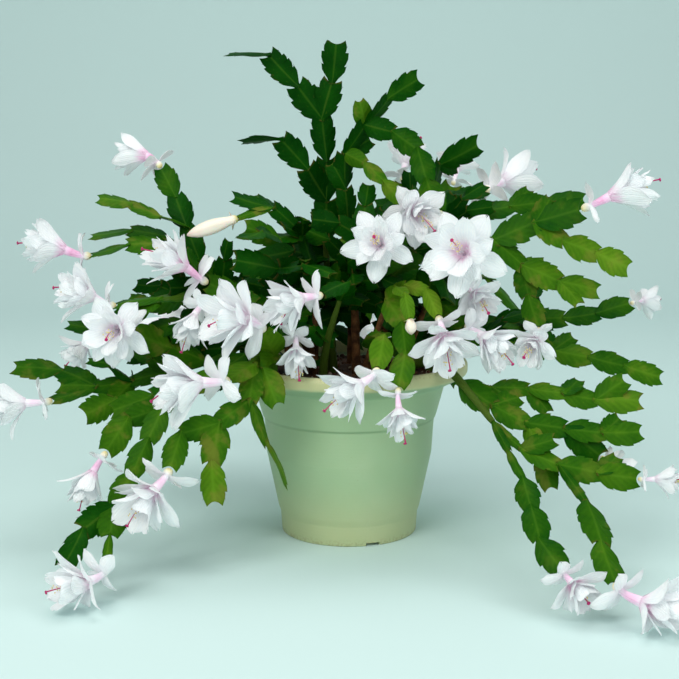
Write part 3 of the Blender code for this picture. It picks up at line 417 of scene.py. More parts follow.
class Flow:
    """An output socket; Python's operators on it add Math nodes to its tree."""

    def __init__(self, sheet: "NodeSheet", socket: NodeSocket) -> None:
        """Hold a socket and the sheet that it is on."""
        self.sheet = sheet
        self.socket = socket

    def math(self, operation: str, *values: object, clamp: bool = False) -> "Flow":
        """Return the result of a Math node on the given values."""
        settings = {"operation": operation, "use_clamp": clamp}
        return self.sheet.node("ShaderNodeMath", settings, dict(enumerate(values)))

    def __add__(self, other: object) -> "Flow":
        """Return self + other."""
        return self.math("ADD", self, other)

    def __sub__(self, other: object) -> "Flow":
        """Return self - other."""
        return self.math("SUBTRACT", self, other)

    def __rsub__(self, other: object) -> "Flow":
        """Return other - self."""
        return self.math("SUBTRACT", other, self)

    def __mul__(self, other: object) -> "Flow":
        """Return self * other."""
        return self.math("MULTIPLY", self, other)

    # The other way round, a sum and a product are the same.
    __radd__, __rmul__ = __add__, __mul__

    def __abs__(self) -> "Flow":
        """Return the size of self without its sign."""
        return self.math("ABSOLUTE", self)

    def wave(self) -> "Flow":
        """Return a sine wave of self that runs between 0 and 1."""
        return self.math("SINE", self) * 0.5 + 0.5

    def held(self) -> "Flow":
        """Return self kept between 0 and 1."""
        return self.math("ADD", self, 0.0, clamp=True)

    def step(self, low: float, high: float) -> "Flow":
        """Return a smooth rise from 0 at low to 1 at high."""
        ends = {"Value": self, "From Min": low, "From Max": high}
        return self.sheet.node("ShaderNodeMapRange", {"interpolation_type": "SMOOTHSTEP"}, ends)


class NodeSheet:
    """The nodes of one shader or geometry tree."""

    def __init__(self, tree: NodeTree) -> None:
        """Hold the tree that nodes are added to."""
        self.tree = tree

    def feed(self, socket: NodeSocket, value: object) -> None:
        """Link a socket to a flow or to each of a list of flows, or set its own value.

        Args:
            socket: The input socket.
            value: A flow, a list of flows, or a plain value; a colour may leave its alpha out.
        """
        if isinstance(value, (Flow, list)):
            for flow in value if isinstance(value, list) else [value]:
                self.tree.links.new(flow.socket, socket)
            return
        if socket.type == "RGBA" and len(value) == 3:
            value = (*value, 1.0)
        socket.default_value = value

    def node(self, kind: str, settings: dict | None = None, inputs: dict | None = None,
             output: object = 0) -> Flow:
        """Add a node and return one of its outputs.

        Args:
            kind: The node's type name.
            settings: Its own settings, which are set first; "stops" fills a colour ramp.
            inputs: The values or flows of its sockets, by name or by number.
            output: The name or number of the output to return.

        Returns:
            The chosen output as a flow.
        """
        node = self.tree.nodes.new(kind)
        for name, value in (settings or {}).items():
            if name == "stops":
                fill_ramp(node.color_ramp, value)
            else:
                setattr(node, name, value)
        for key, value in (inputs or {}).items():
            self.feed(pick_socket(node.inputs, key), value)
        return Flow(self, pick_socket(node.outputs, output))

    def mix(self, factor: object, first: object, second: object) -> Flow:
        """Return a mix of two colours, where the factor is how much of the second shows."""
        ends = {"Factor": factor, "A": first, "B": second}
        return self.node("ShaderNodeMix", {"data_type": "RGBA"}, ends, "Result")

    def attribute(self, name: str) -> Flow:
        """Return a surface's own named value in a shader."""
        return self.node("ShaderNodeAttribute", {"attribute_name": name}, output="Fac")

    def named(self, name: str, kind: str) -> Flow:
        """Return a geometry's own named value in a geometry tree."""
        settings = {"data_type": kind}
        return self.node("GeometryNodeInputNamedAttribute", settings, {"Name": name}, "Attribute")

    def place(self) -> Flow:
        """Return the object's own coordinates."""
        return self.node("ShaderNodeTexCoord", output="Object")

    def cloud(self, scale: float, detail: float, roughness: float = 0.5) -> Flow:
        """Return noise between 0 and 1 in the object's own coordinates.

        Args:
            scale: Its number of lumps to a metre.
            detail: How many finer layers it has.
            roughness: How strong the finer layers are.

        Returns:
            The noise.
        """
        inputs = {"Vector": self.place(), "Scale": scale, "Detail": detail, "Roughness": roughness}
        return self.node("ShaderNodeTexNoise", inputs=inputs, output="Fac")

    def bump(self, height: Flow, depth: float, strength: float) -> Flow:
        """Return a normal bent by a height from 0 to 1, which is depth metres deep."""
        inputs = {"Height": height, "Distance": depth, "Strength": strength}
        return self.node("ShaderNodeBump", inputs=inputs)


def pick_socket(sockets: object, key: object) -> NodeSocket:
    """Return a socket of a node.

    Args:
        sockets: The node's inputs or outputs.
        key: The socket's number, or the name of the one in use.

    Returns:
        The socket.
    """
    if isinstance(key, int):
        return sockets[key]
    return next(socket for socket in sockets if socket.name == key and socket.enabled)


def fill_ramp(ramp: ColorRamp, stops: tuple) -> None:
    """Give a colour ramp its stops.

    Args:
        ramp: The ramp.
        stops: A place and a colour for each stop.
    """
    while len(ramp.elements) < len(stops):
        ramp.elements.new(1.0)
    for element, (place, colour) in zip(ramp.elements, stops):
        element.position = place
        element.color = (*colour, 1.0)


# ---- finishes ----
@dataclass(frozen=True)
class Finish:
    """A procedural material; each kind mixes its colours and relief in its own way."""

    name: str

    def material(self) -> Material:
        """Return the finish as a material.

        Returns:
            A new material whose shader has what the finish gives its sockets.
        """
        material = bpy.data.materials.new(self.name)
        material.use_nodes = True
        sheet = NodeSheet(material.node_tree)
        shader = material.node_tree.nodes["Principled BSDF"].inputs
        for socket, value in self.paint(sheet).items():
            sheet.feed(shader[socket], value)
        return material

    def paint(self, sheet: NodeSheet) -> dict:
        """Return the values and flows of the shader's sockets, by name."""
        raise NotImplementedError


@dataclass(frozen=True)
class LeafFinish(Finish):
    """Waxy green segments: paler midrib, faint veins, mottling and corky brown scars.

    Large soft patches in the green are painted sheen.
    """

    greens: tuple = (
        (0.0, rgb(2, 50, 2)), (0.25, rgb(14, 70, 4)), (0.5, rgb(50, 98, 10)),
        (0.75, rgb(86, 128, 22)), (1.0, rgb(124, 158, 40)),
    )
    rib: tuple = rgb(100, 142, 44)
    vein: tuple = rgb(6, 48, 3)
    speck: tuple = rgb(116, 150, 30)
    olive: tuple = rgb(112, 110, 44)
    rust: tuple = rgb(100, 70, 34)
    scar: tuple = rgb(100, 84, 40)

    def paint(self, sheet: NodeSheet) -> dict:
        """Mix the finish.

        Args:
            sheet: The material's nodes.

        Returns:
            What feeds each socket.
        """
        tone, age, along = (sheet.attribute(name) for name in ("tone", "age", "along"))
        side = abs(sheet.attribute("across"))
        patch, speck = sheet.cloud(70.0, 3.0), sheet.cloud(650.0, 2.0)
        cloud = sheet.cloud(24.0, 2.0)
        # Painted sheen: the cloud term lightens and darkens the green in large soft patches.
        shade = (tone + (patch - 0.5) * 0.36 + (cloud - 0.5) * 0.3 - (side - 0.4) * 0.1).held()
        colour = sheet.node("ShaderNodeValToRGB", {"stops": self.greens}, {"Fac": shade}, "Color")
        vein = (along * 34.0 - side * 13.0).wave() * side.step(0.06, 0.25)
        rib = 1.0 - side.step(0.02, 0.13)
        olive = patch.step(0.52, 0.66) * tone.step(0.28, 0.5) * (0.15 + age * 0.45)
        rim = side.step(0.86, 1.0) * patch.step(0.56, 0.7)
        joint = (along.step(0.955, 1.0) + (1.0 - along.step(0.0, 0.05))) * age.step(0.25, 0.9)
        cork = (joint + age.step(0.8, 1.0) * rib * 0.12).held()
        layers = (
            (rib * 0.12, self.rib), (vein * 0.16, self.vein),
            (speck.step(0.62, 0.78) * 0.1, self.speck), (olive.held(), self.olive),
            (rim * 0.35, self.rust), (cork * 0.5, self.scar),
        )
        for amount, layer in layers:
            colour = sheet.mix(amount, colour, layer)
        return {
            "Base Color": colour, "Roughness": (0.38 + patch * 0.16 + cork * 0.3).held(),
            "Normal": sheet.bump(vein * 0.35 + speck * 0.25 + patch * 0.6, 0.0005, 0.5),
            "Specular IOR Level": 0.035,
        }


@dataclass(frozen=True)
class BarkFinish(Finish):
    """Woody brown trunks with grey flakes and fine cracks, green where they are young."""

    dark: tuple = rgb(48, 27, 14)
    light: tuple = rgb(108, 72, 40)
    flake: tuple = rgb(120, 104, 76)
    green: tuple = rgb(66, 90, 22)

    def paint(self, sheet: NodeSheet) -> dict:
        """Mix the finish.

        Args:
            sheet: The material's nodes.

        Returns:
            What feeds each socket.
        """
        broad, fine = sheet.cloud(120.0, 4.0), sheet.cloud(900.0, 3.0, 0.6)
        green = (sheet.attribute("tone") + (broad - 0.5) * 0.5).step(0.35, 0.75)
        colour = sheet.mix(broad.step(0.3, 0.7), self.dark, self.light)
        colour = sheet.mix(fine.step(0.58, 0.7) * 0.5, colour, self.flake)
        return {
            "Base Color": sheet.mix(green, colour, self.green),
            "Roughness": 0.5 + fine * 0.25 + (1.0 - green) * 0.2,
            "Normal": sheet.bump(broad * 0.4 + fine, 0.0008, 0.7),
            "Specular IOR Level": 0.12,
        }


@dataclass(frozen=True)
class PetalFinish(Finish):
    """Thin white petals that blush pink towards their bases, and the green ovary behind them.

    Cool grey patches on them are painted shade, and a faint emission is a painted glow.
    """

    white: tuple = rgb(251, 252, 253)
    # The grey of the painted shade and of the veins.
    cool: tuple = rgb(228, 235, 240)
    # The colour of the painted glow.
    glow: tuple = rgb(236, 244, 248)
    pink: tuple = rgb(244, 196, 226)
    deep: tuple = rgb(206, 84, 152)
    ovary: tuple = rgb(232, 218, 138)

    def paint(self, sheet: NodeSheet) -> dict:
        """Mix the finish.

        Args:
            sheet: The material's nodes.

        Returns:
            What feeds each socket.
        """
        along, across = sheet.attribute("along"), sheet.attribute("across")
        blush, green = sheet.attribute("blush"), sheet.attribute("green")
        patch = sheet.cloud(110.0, 2.0)
        vein = (across * 26.0 + patch * 2.0).wave()
        rib = 1.0 - abs(across).step(0.0, 0.16)
        tint = (blush * (0.7 + patch * 0.6) + blush * rib * 0.5 + blush * vein * 0.15).held()
        # Painted shade: cool grey in soft patches; along the veins the same grey marks the veins.
        cool = (patch.step(0.35, 0.75) * 0.4 + vein * 0.2).held()
        colour = sheet.mix(cool, self.white, self.cool)
        colour = sheet.mix(tint.step(0.05, 0.8), colour, self.pink)
        colour = sheet.mix(tint.step(0.72, 1.25) * 0.8, colour, self.deep)
        return {
            "Base Color": sheet.mix(green, colour, self.ovary), "Roughness": 0.42 + patch * 0.18,
            "Normal": sheet.bump(vein * (0.4 + along * 0.2) + patch * 0.8, 0.0005, 0.6),
            # A painted glow: faint emission, white and pink where the petals blush, lifts their
            # shadows.
            "Emission Color": sheet.mix((tint + green).held(), self.glow, self.pink),
            "Emission Strength": 0.05, "Subsurface Weight": 0.4,
            "Subsurface Radius": (1.0, 0.85, 0.9), "Subsurface Scale": 0.002,
            "Specular IOR Level": 0.35, "Sheen Weight": 0.15,
        }


@dataclass(frozen=True)
class ThreadFinish(Finish):
    """White filaments, pale yellow anthers and the magenta style with its stigma."""

    white: tuple = rgb(246, 236, 242)
    pollen: tuple = rgb(240, 222, 140)
    magenta: tuple = rgb(186, 24, 104)
    dust: tuple = rgb(120, 70, 60)

    def paint(self, sheet: NodeSheet) -> dict:
        """Mix the finish.

        Args:
            sheet: The material's nodes.

        Returns:
            What feeds each socket.
        """
        grain = sheet.cloud(1400.0, 2.0)
        colour = sheet.mix(sheet.attribute("part").step(0.3, 0.7), self.white, self.pollen)
        colour = sheet.mix(sheet.attribute("tone").step(0.1, 0.9), colour, self.magenta)
        return {
            "Base Color": sheet.mix(grain.step(0.5, 0.7) * 0.15, colour, self.dust),
            "Roughness": 0.45 + grain * 0.2, "Normal": sheet.bump(grain, 0.0002, 0.4),
            "Subsurface Weight": 0.2, "Subsurface Scale": 0.001,
        }


@dataclass(frozen=True)
class BudFinish(Finish):
    """A cream bud, green at its foot, with faint lengthwise lines and a browned tip."""

    cream: tuple = rgb(246, 238, 222)
    foot: tuple = rgb(196, 200, 110)
    line: tuple = rgb(222, 200, 176)
    tip: tuple = rgb(226, 190, 176)

    def paint(self, sheet: NodeSheet) -> dict:
        """Mix the finish.

        Args:
            sheet: The material's nodes.

        Returns:
            What feeds each socket.
        """
        along, patch = sheet.attribute("along"), sheet.cloud(220.0, 3.0)
        line = (sheet.attribute("across") * 44.0).wave()
        colour = sheet.mix(1.0 - along.step(0.02, 0.15), self.cream, self.foot)
        colour = sheet.mix(line * 0.1 + patch * 0.1, colour, self.line)
        return {
            "Base Color": sheet.mix(along.step(0.82, 1.0) * 0.6, colour, self.tip),
            "Roughness": 0.4 + patch * 0.2, "Normal": sheet.bump(line * 0.4 + patch, 0.0004, 0.4),
            "Subsurface Weight": 0.25, "Subsurface Scale": 0.003,
        }


@dataclass(frozen=True)
class PlasticFinish(Finish):
    """Moulded sage plastic, yellowed at the lip and the foot, with soil dust and fine scratches.

    It has painted shade under the lip and at the collar's step.
    """

    sage: tuple = rgb(163, 190, 148)
    cream: tuple = rgb(196, 196, 146)
    # The colour of the painted shade under the lip and at the collar's step.
    shade: tuple = rgb(118, 148, 108)
    bloom: tuple = rgb(206, 212, 180)
    dust: tuple = rgb(120, 96, 62)

    def paint(self, sheet: NodeSheet) -> dict:
        """Mix the finish.

        Args:
            sheet: The material's nodes.

        Returns:
            What feeds each socket.
        """
        height = sheet.node("ShaderNodeSeparateXYZ", {}, {"Vector": sheet.place()}, "Z")
        height = height * (1.0 / MM)
        cloud, fine = sheet.cloud(22.0, 4.0), sheet.cloud(420.0, 3.0, 0.6)
        wander = height + (cloud - 0.5) * 8.0
        aged = wander.step(135.0, 139.5) * 0.9 + (1.0 - wander.step(6.0, 62.0)) * 0.55
        # Painted shade: darker bands at the collar's step and under the lip's overhang.
        collar_step_shade = height.step(97.6, 99.4) * (1.0 - height.step(99.8, 101.6))
        under = height.step(127.0, 131.0) * (1.0 - height.step(136.5, 138.0))
        streak = fine.step(0.66, 0.78) * cloud.step(0.42, 0.62) * 0.22
        lip = height.step(143.0, 148.0) * fine.step(0.52, 0.66) * 0.35
        foot = (1.0 - height.step(0.5, 7.0)) * fine.step(0.45, 0.6) * 0.3
        colour = sheet.mix(aged.held(), self.sage, self.cream)
        colour = sheet.mix((collar_step_shade * 0.45 + under * 0.35).held(), colour, self.shade)
        colour = sheet.mix(cloud.step(0.45, 0.75) * 0.12, colour, self.bloom)
        return {
            "Base Color": sheet.mix((streak + lip + foot).held(), colour, self.dust),
            "Roughness": 0.4 + cloud * 0.12 + fine * 0.1,
            "Normal": sheet.bump(fine * 0.5 + (height * 2.2).wave() * 0.12 + cloud, 0.0003, 0.5),
            "Subsurface Weight": 0.08, "Subsurface Scale": 0.004, "Specular IOR Level": 0.35,
        }


@dataclass(frozen=True)
class PeatFinish(Finish):
    """Damp dark peat with lighter fibres and a few pale grains."""

    dark: tuple = rgb(42, 24, 13)
    light: tuple = rgb(104, 66, 38)
    grain: tuple = rgb(186, 172, 146)

    def paint(self, sheet: NodeSheet) -> dict:
        """Mix the finish.

        Args:
            sheet: The material's nodes.

        Returns:
            What feeds each socket.
        """
        broad, fine = sheet.cloud(160.0, 4.0, 0.6), sheet.cloud(1500.0, 2.0)
        tone = sheet.attribute("tone")
        colour = sheet.mix((broad.step(0.35, 0.7) * 0.6 + tone * 0.5).held(), self.dark, self.light)
        return {
            "Base Color": sheet.mix(tone.step(0.93, 0.97), colour, self.grain),
            "Roughness": 0.86 + fine * 0.12, "Normal": sheet.bump(broad + fine * 0.4, 0.0015, 0.8),
        }


@dataclass(frozen=True)
class FloorFinish(Finish):
    """The plain pale sweep that the plant stands on."""

    pale: tuple = rgb(206, 230, 227)
    haze: tuple = rgb(196, 222, 218)

    def paint(self, sheet: NodeSheet) -> dict:
        """Return the values and flows of the shader's sockets, by name."""
        haze = sheet.cloud(1.2, 2.0) * 0.12
        return {"Base Color": sheet.mix(haze, self.pale, self.haze), "Roughness": 0.85}


# ---- meshes ----
def turned(angle: float, radius: float, height: float = 0.0) -> Vector:
    """Return the point at an angle and a radius around the Z axis, and at a height."""
    return Vector((radius * math.cos(angle), radius * math.sin(angle), height))


def turns(count: int, shift: float = 0.0) -> list:
    """Return evenly spaced angles around a full turn, each moved on by a share of a step."""
    return [math.tau * (index + shift) / count for index in range(count)]


class Shell:
    """Points and faces of closed shapes in millimetres, with named numbers at the points."""

    def __init__(self, *names: str) -> None:
        """Start an empty shell.

        Args:
            names: The names of the numbers that its points carry.
        """
        self.points: list = []
        self.faces: list = []
        self.values: dict = {name: [] for name in names}

    def add(self, point: Vector, **values: float) -> int:
        """Add a point.

        Args:
            point: Where it is.
            values: Its named numbers; the others are 0.

        Returns:
            Its index.
        """
        self.points.append(tuple(point))
        for name, row in self.values.items():
            row.append(values.get(name, 0.0))
        return len(self.points) - 1

    def pair(self, middle: Vector, offset: Vector, **values: float) -> tuple:
        """Add a point on each side of a middle and return their indices."""
        return self.add(middle + offset, **values), self.add(middle - offset, **values)

    def grid(self, rows: list, closed: bool = False, flip: bool = False) -> None:
        """Add faces between rows of point indices.

        Args:
            rows: Rows of the same number of indices.
            closed: Whether the last index of a row meets its first.
            flip: Whether the faces turn the other way.
        """
        for low, high in zip(rows, rows[1:]):
            for index in range(len(low) if closed else len(low) - 1):
                after = (index + 1) % len(low)
                face = [low[index], low[after], high[after], high[index]]
                self.faces.append(face[::-1] if flip else face)

    def barrel(self, rows: list) -> None:
        """Add faces between rings of point indices, and an end on the first and the last."""
        self.grid(rows, closed=True)
        self.faces += [tuple(reversed(rows[0])), tuple(rows[-1])]

    def blade(self, rows: list) -> None:
        """Add the two sides of a thin sheet and the strips that close its two ends.

        Args:
            rows: Rows of pairs of indices, one on each side of the sheet.
        """
        top, bottom = ([[pair[side] for pair in row] for row in rows] for side in (0, 1))
        self.grid(top)
        self.grid(bottom, flip=True)
        for row in (0, -1):
            self.grid([top[row], bottom[row]], flip=row == 0)

    def item(self, name: str, *materials: Material, sharp: float = 0.0) -> Object:
        """Return the shell as an object in metres, smooth, with its doubles merged.

        Args:
            name: The object's name.
            materials: Its materials.
            sharp: The angle in degrees past which edges stay sharp, or 0.

        Returns:
            The new object.
        """
        mesh = bpy.data.meshes.new(name)
        metres = [tuple(MM * value for value in point) for point in self.points]
        mesh.from_pydata(metres, [], self.faces)
        for key, row in self.values.items():
            mesh.attributes.new(key, "FLOAT", "POINT").data.foreach_set("value", row)
        work = bmesh.new()
        work.from_mesh(mesh)
        bmesh.ops.remove_doubles(work, verts=work.verts[:], dist=2e-7)
        bmesh.ops.dissolve_degenerate(work, edges=work.edges[:], dist=1e-7)
        bmesh.ops.recalc_face_normals(work, faces=work.faces[:])
        work.to_mesh(mesh)
        work.free()
        for material in materials:
            mesh.materials.append(material)
        return placed(name, mesh, sharp)


def placed(name: str, mesh: Mesh, sharp: float = 0.0) -> Object:
    """Put a mesh in the scene, with smooth shading.

    Args:
        name: The object's name.
        mesh: What it shows.
        sharp: The angle in degrees past which edges stay sharp, or 0.

    Returns:
        The new object.
    """
    mesh.name = name
    mesh.shade_smooth()
    if sharp:
        mesh.set_sharp_from_angle(angle=math.radians(sharp))
    item = bpy.data.objects.new(name, mesh)
    bpy.context.scene.collection.objects.link(item)
    return item


def baked(item: Object) -> Mesh:
    """Turn an object with modifiers into a plain mesh, and remove the object.

    Args:
        item: The object.

    Returns:
        Its shape as a mesh of its own.
    """
    graph = bpy.context.evaluated_depsgraph_get()
    mesh = bpy.data.meshes.new_from_object(
        item.evaluated_get(graph), preserve_all_data_layers=True, depsgraph=graph
    )
    bpy.data.objects.remove(item, do_unlink=True)
    return mesh


def settle(mesh: Mesh) -> None:
    """Ease points that near the floor onto it, and keep all points inside the box of the solids.

    Args:
        mesh: The mesh to change.
    """
    soft, margin = SOFT_FLOOR * MM, BOX_GAP * MM
    points = np.empty(len(mesh.vertices) * 3, dtype=np.float32)
    mesh.vertices.foreach_get("co", points)
    points = points.reshape(-1, 3)
    low = points[:, 2] < soft
    points[low, 2] = soft * np.exp((points[low, 2] - soft) / soft)
    points = np.clip(points, np.array(CAD_BOX[0]) + margin, np.array(CAD_BOX[1]) - margin)
    mesh.vertices.foreach_set("co", points.astype(np.float32).ravel())
    mesh.update()


def dress(item: Object, slot: str, *nodes: str) -> None:
    """Hand a finished piece to the frame and report it.

    Args:
        item: The finished piece.
        slot: The material slot that its finish stands for. It is not used.
        nodes: The solids that it replaces.
    """
    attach(item, BODY)
    if nodes:
        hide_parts(*nodes)
    faces = len(item.data.polygons)
    LOG.info("%s: %d faces, replaces %s", item.name, faces, ", ".join(nodes) or "-")


# ---- growth: strands and repeated shapes by rule ----
# Each value of a seed: its type in the mesh and what it is when not given.
SEED_VALUES = {
    "strand": ("BOOLEAN", False),
    "thick": ("FLOAT", 0.0),
    "turn": ("QUATERNION", (1.0, 0.0, 0.0, 0.0)),
    "stretch": ("FLOAT_VECTOR", (1.0, 1.0, 1.0)),
    "shape": ("INT", 0),
    "tone": ("FLOAT", 0.0),
    "age": ("FLOAT", 0.0),
    "part": ("FLOAT", 0.0),
}
SPENT_VALUES = ("strand", "thick", "turn", "stretch", "shape")


@dataclass
class Seeds:
    """Places where shapes are repeated, and the routes of strands, in millimetres."""

    points: list = field(default_factory=list)
    edges: list = field(default_factory=list)
    rows: dict = field(default_factory=lambda: {name: [] for name in SEED_VALUES})

    def put(self, point: Vector, **values: object) -> int:
        """Add a point.

        Args:
            point: Where it is.
            values: Its named values.

        Returns:
            Its index.
        """
        self.points.append(tuple(MM * number for number in point))
        for name, (_, default) in SEED_VALUES.items():
            self.rows[name].append(values.get(name, default))
        return len(self.points) - 1

    def strand(self, route: list, radii: Sequence, tones: Sequence = (), **values: object) -> None:
        """Add a strand through a route.

        Args:
            route: Its points.
            radii: Its radius at each point, in mm.
            tones: The tone at each point, or nothing for 0.
            values: The other values of all its points.
        """
        tones = tones or [0.0] * len(route)
        indices = [self.put(point, strand=True, thick=MM * radius, tone=tone, **values)
                   for point, radius, tone in zip(route, radii, tones)]
        self.edges += list(zip(indices, indices[1:]))

    def mesh(self, name: str) -> Mesh:
        """Return the points and edges as a mesh with the named values on it.

        Args:
            name: The mesh's name.

        Returns:
            The new mesh.
        """
        mesh = bpy.data.meshes.new(name)
        mesh.from_pydata(self.points, self.edges, [])
        for key, (kind, _) in SEED_VALUES.items():
            layer = mesh.attributes.new(key, kind, "POINT")
            flat = np.array(self.rows[key]).ravel()
            layer.data.foreach_set("vector" if kind == "FLOAT_VECTOR" else "value", flat)
        return mesh


@dataclass
class Growth:
    """A geometry tree that sets shapes out on points and sweeps tubes along strands."""

    name: str
    shapes: list
    shape_finish: Material
    strand_finish: Material
    strand_sides: int = 8
    roughen: float = 0.0
    seed: int = 7

    def __post_init__(self) -> None:
        """Gather the shapes and build the tree."""
        self.store = bpy.data.collections.new(self.name + "_shapes")
        bpy.context.scene.collection.children.link(self.store)
        for shape in self.shapes:
            bpy.context.scene.collection.objects.unlink(shape)
            self.store.objects.link(shape)
        self.tree = bpy.data.node_groups.new(self.name, "GeometryNodeTree")
        self.given = {
            "Shapes": ("Collection", self.store), "Shape finish": ("Material", self.shape_finish),
            "Strand finish": ("Material", self.strand_finish),
            "Strand sides": ("Int", self.strand_sides), "Roughen": ("Float", self.roughen),
        }
        self.build_tree(NodeSheet(self.tree))

    def build_tree(self, sheet: NodeSheet) -> None:
        """Give the geometry tree its named inputs and its nodes.

        Args:
            sheet: The tree's nodes.
        """
        face = self.tree.interface
        face.new_socket("Geometry", in_out="INPUT", socket_type="NodeSocketGeometry")
        for title, (kind, _) in self.given.items():
            face.new_socket(title, in_out="INPUT", socket_type="NodeSocket" + kind)
        face.new_socket("Geometry", in_out="OUTPUT", socket_type="NodeSocketGeometry")
        feeds = self.tree.nodes.new("NodeGroupInput")
        given = {socket.name: Flow(sheet, socket) for socket in feeds.outputs if socket.name}
        tubes = self.sweep_strands(sheet, given)
        spots = self.part_seeds(sheet, given, "Inverted")
        picks = sheet.node("GeometryNodeCollectionInfo", {}, {
            "Collection": given["Shapes"], "Separate Children": True, "Reset Children": True,
        })
        copies = sheet.node("GeometryNodeInstanceOnPoints", {}, {
            "Points": spots, "Instance": picks, "Pick Instance": True,
            "Instance Index": sheet.named("shape", "INT"),
            "Rotation": sheet.named("turn", "QUATERNION"),
            "Scale": sheet.named("stretch", "FLOAT_VECTOR"),
        })
        whole = sheet.node("GeometryNodeJoinGeometry", {}, {"Geometry": [tubes, copies]})
        whole = sheet.node("GeometryNodeRealizeInstances", {}, {"Geometry": whole})
        strands = sheet.named("strand", "BOOLEAN")
        for title, chosen in (("Shape finish", True), ("Strand finish", strands)):
            ends = {"Geometry": whole, "Selection": chosen, "Material": given[title]}
            whole = sheet.node("GeometryNodeSetMaterial", {}, ends)
        sheet.feed(self.tree.nodes.new("NodeGroupOutput").inputs["Geometry"], whole)

    def part_seeds(self, sheet: NodeSheet, given: dict, side: str) -> Flow:
        """Return the strands of the seeds, as "Selection", or the points, as "Inverted"."""
        parts = {"Geometry": given["Geometry"], "Selection": sheet.named("strand", "BOOLEAN")}
        return sheet.node("GeometryNodeSeparateGeometry", {"domain": "POINT"}, parts, side)

    def sweep_strands(self, sheet: NodeSheet, given: dict) -> Flow:
        """Sweep a round tube along each strand and roughen it.

        Args:
            sheet: The tree's nodes.
            given: The tree's inputs by name.

        Returns:
            The tubes.
        """
        curve = sheet.node("GeometryNodeMeshToCurve", {},
                           {"Mesh": self.part_seeds(sheet, given, "Selection")})
        circle = sheet.node("GeometryNodeCurvePrimitiveCircle", {},
                            {"Resolution": given["Strand sides"], "Radius": 1.0})
        tube = sheet.node("GeometryNodeCurveToMesh", {}, {
            "Curve": curve, "Profile Curve": circle, "Scale": sheet.named("thick", "FLOAT"),
            "Fill Caps": True,
        })
        bark = sheet.node("ShaderNodeTexNoise", {"noise_dimensions": "4D"},
                          {"W": float(self.seed), "Scale": 160.0, "Detail": 2.0}, "Fac")
        offset = sheet.node("ShaderNodeVectorMath", {"operation": "SCALE"}, {
            0: sheet.node("GeometryNodeInputNormal"), "Scale": (bark - 0.5) * given["Roughen"],
        })
        return sheet.node("GeometryNodeSetPosition", {}, {"Geometry": tube, "Offset": offset})

    def grow(self, name: str, seeds: Seeds, sharp: float = 0.0) -> Object:
        """Return one piece grown from its seeds.

        Args:
            name: The piece's name.
            seeds: The points and strands.
            sharp: The angle in degrees past which edges stay sharp, or 0.

        Returns:
            The finished piece as a plain mesh.
        """
        holder = bpy.data.objects.new(name + "_seeds", seeds.mesh(name + "_seeds"))
        bpy.context.scene.collection.objects.link(holder)
        modifier = holder.modifiers.new("growth", "NODES")
        modifier.node_group = self.tree
        for entry in self.tree.interface.items_tree:
            if entry.name in self.given:
                modifier[entry.identifier] = self.given[entry.name][1]
        mesh = baked(holder)
        for key in SPENT_VALUES:
            if key in mesh.attributes:
                mesh.attributes.remove(mesh.attributes[key])
        settle(mesh)
        return placed(name, mesh, sharp)

    def clear(self) -> None:
        """Remove the shapes and the tree once every piece has grown."""
        for shape in list(self.store.objects):
            bpy.data.objects.remove(shape, do_unlink=True)
        bpy.data.collections.remove(self.store)
        bpy.data.node_groups.remove(self.tree)


# ---- plant geometry, as the solids have it ----
CURVE_STEPS = 16


def through(knots: list, count: int) -> list:
    """Return points evenly spaced on a smooth curve through the given points.

    Args:
        knots: The points that the curve passes through.
        count: The number of steps; one more point is returned.

    Returns:
        The points, from the first knot to the last.
    """
    padded = [2.0 * knots[0] - knots[1]] + knots + [2.0 * knots[-1] - knots[-2]]
    dense = []
    for first, start, end, last in zip(padded, padded[1:], padded[2:], padded[3:]):
        for step in range(CURVE_STEPS):
            t = step / CURVE_STEPS
            dense.append(0.5 * (2.0 * start + (end - first) * t
                                + (2.0 * first - 5.0 * start + 4.0 * end - last) * t * t
                                + (3.0 * start - first - 3.0 * end + last) * t * t * t))
    dense.append(knots[-1])
    lengths = [0.0]
    for start, end in zip(dense, dense[1:]):
        lengths.append(lengths[-1] + (end - start).length)
    spaced = []
    for index in range(count + 1):
        target = lengths[-1] * index / count
        place = max(k for k in range(len(dense)) if lengths[k] <= target + 1e-9)
        if place == len(dense) - 1:
            spaced.append(dense[-1])
            continue
        part = (target - lengths[place]) / (lengths[place + 1] - lengths[place])
        spaced.append(dense[place].lerp(dense[place + 1], part))
    return spaced


def on_floor(point: Vector) -> Vector:
    """Ease a point that nears the floor so that it ends up lying just above it.

    Args:
        point: The point.

    Returns:
        The point itself where it is high enough, or one above the floor.
    """
    if point.z >= SOFT_FLOOR:
        return point
    return Vector((point.x, point.y, SOFT_FLOOR * math.exp((point.z - SOFT_FLOOR) / SOFT_FLOOR)))


def grow_joints(stem: Stem) -> dict:
    """Lay out a stem's shoots, each from the joint or trunk point nearest its first point.

    Args:
        stem: The stem.

    Returns:
        The joints of each shoot, by its name.
    """
    joints = {}
    places = [Vector(point) for point in stem.trunk]
    for shoot in stem.shoots:
        knots = [Vector(point) for point in shoot.points]
        knots[0] = min(places, key=lambda place: (place - knots[0]).length)
        joints[shoot.name] = through(knots, shoot.segments)
        places += joints[shoot.name]
    return joints


JOINTS = {stem.name: grow_joints(stem) for stem in STEMS}


def shoot_end(name: str) -> tuple:
    """Find the end of a shoot.

    Args:
        name: The shoot's name.

    Returns:
        Its last point and its direction there.
    """
    joints = next(JOINTS[stem.name][name] for stem in STEMS if name in JOINTS[stem.name])
    end, before = on_floor(joints[-1]), on_floor(joints[-2])
    return end, (end - before).normalized()


